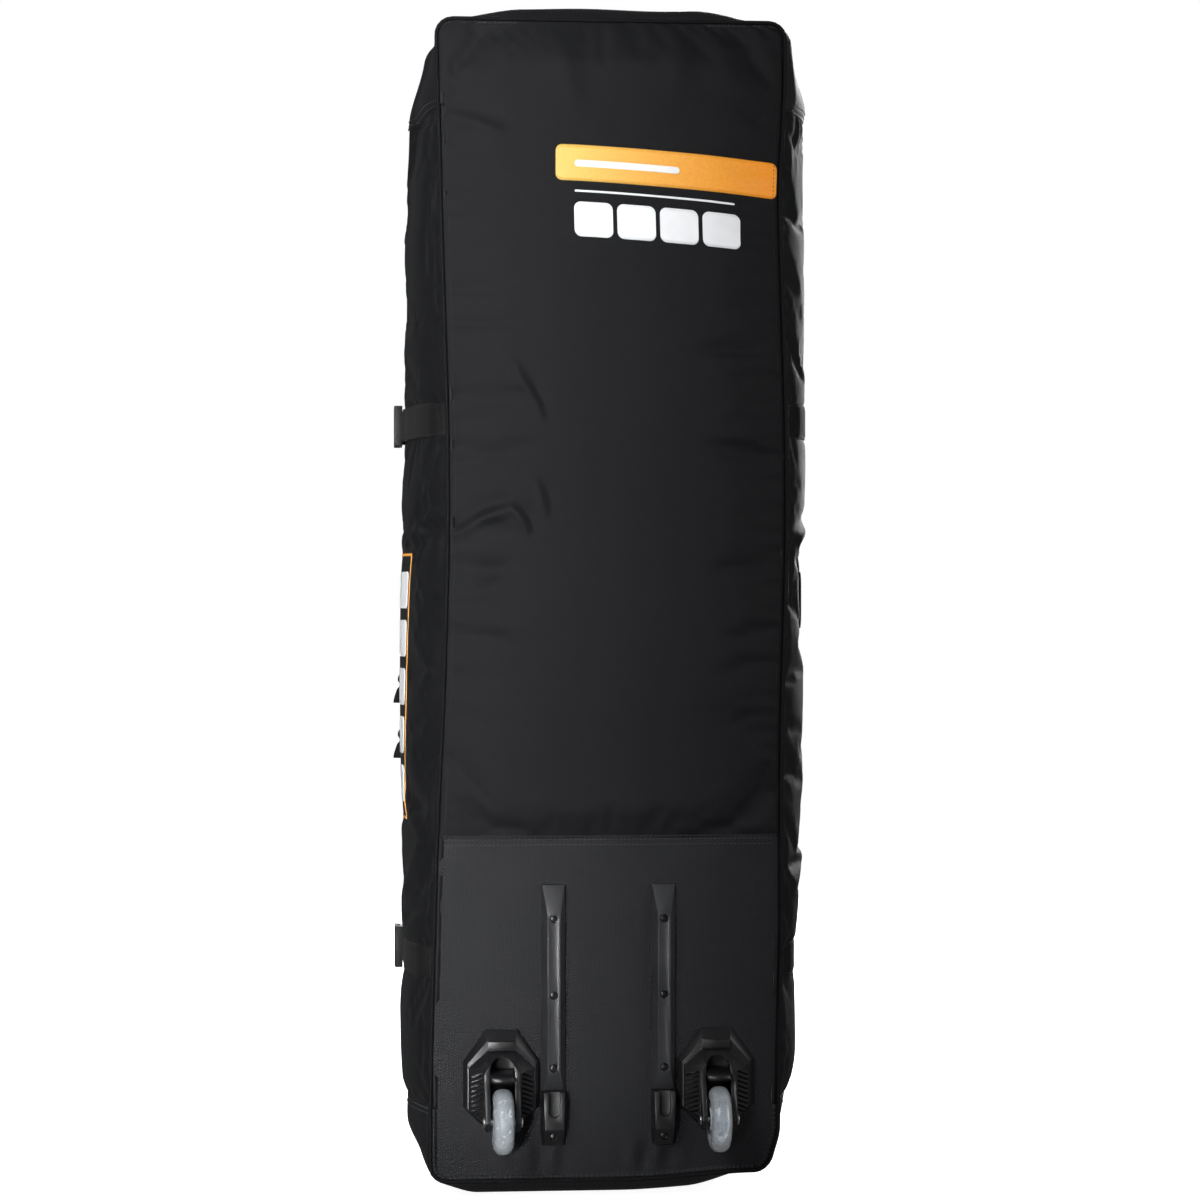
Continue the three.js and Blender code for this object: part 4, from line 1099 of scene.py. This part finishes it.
def straps():
    thread = Bundle()
    for label, z in STRAPS:
        # left: sewn to the back seam, then standing off the gusset as far as the buckle
        path, outs = wall_strap(-1, z, 0.0640, 46)
        tab = webbing(f"{label}_left_webbing", path, outs, (0, 0, 1), STRAP_WIDTH, STRAP_THICK)
        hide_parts(f"{label}_strap_left_tab")
        strap_box(thread, -1, z)

        # right: one strap from the back seam over the hinge and the lid to the buckle plug
        path, outs = wall_strap(1, z, 0.0900, 50)
        strap_box(thread, 1, z)
        y = np.linspace(0.0925, 0.1400, 14)
        s = np.full_like(y, side_s(1, z))
        side_path, side_outs = wall(s, y) + wall_out(s, y) * 0.0014, wall_out(s, y)
        turn = [(HALF_W + 0.0012, 0.1455), (HALF_W - 0.0010, 0.1495), (HALF_W - 0.0060, 0.1508)]
        x = np.linspace(HALF_W - 0.016, -(HALF_W - 0.016), 60)
        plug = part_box(f"{label}_buckle_plug")
        plug_x = (plug[0][0] + plug[1][0]) / 2
        front = [(v, 0.1506) for v in x]
        away = [(-(HALF_W - 0.0060), 0.1508), (-(HALF_W - 0.0010), 0.1500), (-(HALF_W + 0.0040), 0.1478)]
        away += [(plug_x + 0.006, 0.1240), (plug_x + 0.0012, 0.1190), (plug_x, plug[1][1] - 0.008)]
        rest = np.array([(a, b, z) for a, b in turn + front + away])
        ahead = np.gradient(rest[:, :2], axis=0)
        ahead /= np.linalg.norm(ahead, axis=1, keepdims=True)
        rest_outs = at(ahead[:, 1], -ahead[:, 0], 0)
        path = np.concatenate([path, side_path, rest])
        outs = np.concatenate([outs, side_outs, rest_outs])
        strap = webbing(f"{label}_long_strap", path, outs, (0, 0, 1), STRAP_WIDTH, STRAP_THICK, body=None)
        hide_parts(f"{label}_strap_right_tab", f"{label}_strap")
        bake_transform(strap)
    thread.piece("strap_stitches", "thread")


def inner_straps():
    for label in ("upper", "lower"):
        low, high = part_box(f"{label}_inner_strap")
        x = np.linspace(low[0], high[0], 60)
        z = (low[2] + high[2]) / 2
        y = high[1] - 0.0018 + 0.0020 * np.sin(x * 23) ** 2
        path = at(x, y, z)
        strap = webbing(f"{label}_tie_down", path, (0, 1, 0), (0, 0, 1), STRAP_WIDTH, STRAP_THICK)
        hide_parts(f"{label}_inner_strap")


# ------------------------------------------------------------------ the zip
def zip_halves():
    """Tape and teeth, from the bottom right corner over the foot, up the left side and over the top."""
    s0, s1 = RIGHT_FOOT - TOTAL + 0.0004, TOP_RIGHT - 0.0004
    for label, body, node, way in (
        ("body", "case_body", "zip_body_half", -1),
        ("lid", "lid", "zip_lid_half", 1),
    ):
        edge = ZIP_Y + way * ZIP_GAP
        s, y = wall_grid(np.linspace(s0, s1, 520), edge + way * np.linspace(0, 0.0116, 6))
        points, outs = wall(s, y, -0.0026), wall_out(s, y)
        tape = thick_grid(f"zip_{label}_tape", points, at(s, y), ["zip_tape"], 0.0009, outs, body)
        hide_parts(node)
        teeth = Bundle()
        pitch = 0.0026
        for k in range(int((s1 - s0) / pitch)):
            centre = s0 + (k + 0.5 + 0.25 * way) * pitch
            ring = []
            for high, grow in ((-0.0027, 1.0), (-0.0012, 1.0), (-0.0006, 0.6)):
                for ds, dy in ((-1, 0), (1, 0), (1, 1), (-1, 1)):
                    a = centre + ds * 0.00062 * grow
                    b = edge + way * (0.0002 + (1 - grow) * 0.0012 + dy * 0.0034 * grow)
                    ring.append((a, b, high))
            ring = np.array(ring)
            verts = wall(ring[:, 0], ring[:, 1], ring[:, 2])
            faces = [(3, 2, 1, 0), (8, 9, 10, 11)]
            for base in (0, 4):
                for a, b in ((0, 1), (1, 2), (2, 3), (3, 0)):
                    faces.append((base + a, base + b, base + 4 + b, base + 4 + a))
            teeth.take(verts, faces if way > 0 else [face[::-1] for face in faces])
        teeth.piece(f"zip_{label}_teeth", "zip_teeth", body)


def pulls():
    """Twisted tape pulls that hang from the sliders."""
    for label in ("upper", "lower"):
        low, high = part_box(f"{label}_zip_pull")
        middle = Vector(((low[0] + high[0]) / 2, (low[1] + high[1]) / 2, 0))
        top, bottom = high[2] - 0.0007, low[2] + 0.001
        out = np.array((-math.cos(PULL_SLOPE), math.sin(PULL_SLOPE), 0.0))
        flat = np.array((math.sin(PULL_SLOPE), math.cos(PULL_SLOPE), 0.0))
        centre = np.array((middle.x, middle.y, 0.0))
        # the wire loop
        t = np.linspace(0, 2 * math.pi, 33)[:-1]
        up = np.array((0, 0, 1.0))
        loop = centre + flat * (0.0050 * squared(np.cos(t), 0.5))[:, None]
        loop = loop + up * (top - 0.0078 + 0.0072 * squared(np.sin(t), 0.5))[:, None]
        verts, faces = tube(loop, 0.0007, 8, closed=True, up=out)
        ring = add(f"{label}_pull_loop", verts, faces, "black_metal", f"{label}_pull")
        # the tape: doubled, sewn, and twisted half a turn in the middle
        n = 48
        v = np.linspace(0, 1, n)
        z = top - 0.0115 + (bottom - top + 0.0115) * v
        twist = math.radians(80) * smooth(v / 0.22) + math.pi * smooth((v - 0.28) / 0.34)
        across = np.cos(twist)[:, None] * flat + np.sin(twist)[:, None] * out
        width = 0.0125 * (1 - 0.42 * hump(v, 0.44, 0.15)) * (1 + 0.16 * smooth((v - 0.6) / 0.4))
        stand = 0.0070 * smooth(v / 0.35) + 0.0035 * smooth((v - 0.5) / 0.5)
        path = centre + up * z[:, None] + out * stand[:, None]
        ahead = np.gradient(path, axis=0)
        outs = np.cross(across, ahead)
        outs /= np.linalg.norm(outs, axis=1, keepdims=True)
        path = path - outs * 0.0008
        tape = webbing(f"{label}_pull_tape", path, outs, across, width, 0.0016, f"{label}_pull")
        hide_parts(f"{label}_zip_pull")
        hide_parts(f"{label}_zip_pull")


# ------------------------------------------------------------------ handles
def handle(name, root, out, along, across, half, rise, width, thick):
    """A webbing arch with flat sewn ends."""
    root = np.array(root, float)
    t = np.linspace(-1.22, 1.22, 70)
    lift = 0.0008 + (rise + 0.0018) * smooth((1 - np.abs(t)) / 0.55)
    path = root + along * (t * half)[:, None] + out * lift[:, None]
    if name == "side":
        landed = land(path - out * lift[:, None], out, surface_of("right"), 0.0) + out * lift[:, None]
        path = path + (landed - path) * smooth((np.abs(t) - 0.6) / 0.35)[:, None]
    strap = webbing(f"{name}_handle_webbing", path, out, across, width, thick, None)
    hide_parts(f"{name}_handle")
    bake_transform(strap)
    return path, t


def grip_wrap(path, t, out, across, half, width, thick, body):
    """The padded wrap round the middle of the side handle."""
    around = np.linspace(0, 2 * math.pi, 40, endpoint=False)
    lengths = np.linspace(-1, 1, 26)
    rows = []
    for k in lengths:
        swell = 1 - 0.35 * abs(k) ** 6
        a = (width / 2 + 0.0024) * squared(np.cos(around), 0.35)
        b = (thick / 2 + 0.0022) * swell * squared(np.sin(around), 0.6)
        middle = np.array([np.interp(k * GRIP_HALF / half, t, path[:, c]) for c in range(3)])
        centre = middle + out * (thick / 2)
        rows.append(centre + across * a[:, None] + out * b[:, None])
    n, m = len(rows), len(around)
    uv = at(np.repeat(lengths * GRIP_HALF, m), np.tile(np.linspace(0, 0.07, m), n))
    wrap = add("side_grip_wrap", np.array(rows).reshape(-1, 3), ring_faces(n, m), "grip", body, uv)
    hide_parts("side_handle_grip")


def handles():
    x, y, z = np.eye(3)
    half, width, thick = 0.078, 0.026, 0.0026
    path, t = handle("side", (0.238, 0, MID), x, z, y, half, 0.0032, width, thick)
    grip_wrap(path, t, x, y, half, width, thick, "side_carry_handle")
    handle("top", (0, 0.020, 1.4008), z, x, y, 0.080, 0.0085, 0.028, 0.0026)


# ------------------------------------------------------------------ hard parts
def softened(node, finish, bevel, segments=2, angle=28):
    """A copy of a moulded part with its flat faces joined and its edges rounded."""
    source = frame["nodes"][node]
    mesh = source.data.copy()
    mesh.name = node + "_moulding"
    work = bmesh.new()
    work.from_mesh(mesh)
    bmesh.ops.remove_doubles(work, verts=work.verts, dist=1e-6)
    bmesh.ops.dissolve_limit(work, angle_limit=math.radians(1.0), verts=work.verts, edges=work.edges)
    work.to_mesh(mesh)
    work.free()
    mesh.materials.clear()
    mesh.materials.append(MATERIALS[finish])
    obj = bpy.data.objects.new(node + "_moulding", mesh)
    scene.collection.objects.link(obj)
    edge = obj.modifiers.new("edge", "BEVEL")
    edge.width, edge.segments = bevel, segments
    edge.limit_method, edge.angle_limit = "ANGLE", math.radians(angle)
    edge.use_clamp_overlap = True
    bpy.context.view_layer.update()
    made = bpy.data.meshes.new_from_object(obj.evaluated_get(bpy.context.evaluated_depsgraph_get()))
    obj.modifiers.clear()
    obj.data = made
    made.polygons.foreach_set("use_smooth", np.full(len(made.polygons), True))
    made.set_sharp_from_angle(angle=math.radians(40))
    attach(obj, source["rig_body"])
    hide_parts(node)
    return obj


def lathe_x(profile, sides, centre):
    """A closed ring about an X axis, from (x, r) pairs."""
    profile = np.asarray(profile, float)
    turn = np.linspace(0, 2 * math.pi, sides, endpoint=False)
    m = len(profile)
    verts = np.empty((sides, m, 3))
    verts[..., 0] = centre[0] + profile[None, :, 0]
    verts[..., 1] = centre[1] + profile[None, :, 1] * np.cos(turn)[:, None]
    verts[..., 2] = centre[2] + profile[None, :, 1] * np.sin(turn)[:, None]
    faces = [(a, d, c, b) for a, b, c, d in ring_faces(sides, m, closed=True)]
    return verts.reshape(-1, 3), faces


def wheels():
    for label in ("left", "right"):
        low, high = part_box(f"{label}_tyre")
        centre = [(a + b) / 2 for a, b in zip(low, high)]
        half = [(x / 1000, r / 1000) for x, r in TYRE_HALF_PROFILE]
        profile = half + [(-x, r) for x, r in half[::-1]]
        verts, faces = lathe_x(profile, 96, centre)
        tyre = add(f"{label}_wheel_tyre", verts, faces, "wheel_urethane", f"{label}_wheel")
        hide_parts(f"{label}_tyre")
        softened(f"{label}_hub", "hub_plastic", 0.0004)
        softened(f"{label}_axle", "steel", 0.0005)
        softened(f"{label}_inner_bearing", "steel", 0.0004)
        softened(f"{label}_outer_bearing", "steel", 0.0004)
        softened(f"{label}_wheel_housing", "black_plastic", 0.0011, segments=3)
        softened(f"{label}_wheel_cover", "black_plastic", 0.0005)
        fender(label, centre)


def fender(label, centre):
    """The curved guard inside the cover, over and behind the wheel."""
    angles = np.radians(np.linspace(96, 20, 18))
    x = np.linspace(-1, 1, 15) * FENDER_HALF
    y = centre[1] + FENDER_R * np.cos(angles)
    z = centre[2] + FENDER_R * np.sin(angles) + FENDER_LIFT
    # two more rows, so that the guard goes on from the top of its arc
    y = np.concatenate([y[0] + np.array([0.026, 0.012]), y])[:, None]
    z = np.concatenate([z[0] + np.array([0.011, 0.006]), z])[:, None]
    points = at(centre[0] + x, y - FENDER_BULGE * (1 - (x / FENDER_HALF) ** 2), z)
    uv = at(points[..., 0], points[..., 2])
    thick_grid(f"{label}_wheel_fender", points, uv, ["black_plastic"], 0.0012, (0, -1, 0.3))


def screw_heads():
    for node in [n for n in frame["nodes"] if "screw" in n]:
        softened(node, "black_metal", 0.0003)


def hard_parts():
    for side in ("left", "right"):
        # the rails take the lighter plastic, a painted highlight
        softened(f"{side}_rail", "rail_plastic_painted_highlight", 0.0009, segments=3)
        softened(f"{side}_foot", "black_plastic", 0.0009, segments=3)
    for label in ("upper", "lower"):
        softened(f"{label}_buckle_socket", "buckle_plastic", 0.0008, segments=3)
        softened(f"{label}_buckle_plug", "buckle_plastic", 0.0006)
        softened(f"{label}_zip_slider", "black_metal", 0.0004)
    screw_heads()
    for slot in frame["nodes"]["base_board"].material_slots:
        slot.material = MATERIALS["board"]


# ------------------------------------------------------------------ the hinge side
def hinge_fold():
    """The strip of cloth along the hinge side."""
    depths = (0.0880, 0.0905, 0.0935, 0.0960, HINGE_Y, 0.0996, 0.1020, 0.1050, 0.1075)
    s, y = wall_grid(np.linspace(TOP_RIGHT + 0.004, RIGHT_FOOT - 0.004, 300), depths)
    points = wall(s, y, 0.0006 + 0.0048 * hump(y, HINGE_Y, 0.0052))
    strip = thick_grid("hinge_strip", points, at(s, y), ["polyester"], 0.0009, (1, 0, 0), body=None)
    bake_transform(strip)


def floor():
    mesh = bpy.data.meshes.new("floor")
    mesh.from_pydata([(-30, -30, 0), (30, -30, 0), (30, 30, 0), (-30, 30, 0)], [], [(0, 1, 2, 3)])
    look = Look("floor", (0.88, 0.88, 0.88), 0.8, Emission_Color=(1, 1, 1, 1), Emission_Strength=0.93)
    mesh.materials.append(look.material)
    obj = bpy.data.objects.new("floor", mesh)
    scene.collection.objects.link(obj)
    obj.location.z = -0.0010
    obj.visible_diffuse = obj.visible_glossy = False


make_camera()
make_light()
floor()
back_panels()
gusset("left_gusset_cloth", -1, "left_gusset")
gusset("right_gusset_cloth", 1, "right_gusset")
patches()
lid_cloths()
seams()
seam_hems()
stitching()
prints()
straps()
inner_straps()
zip_halves()
pulls()
handles()
wheels()
hard_parts()
hinge_fold()
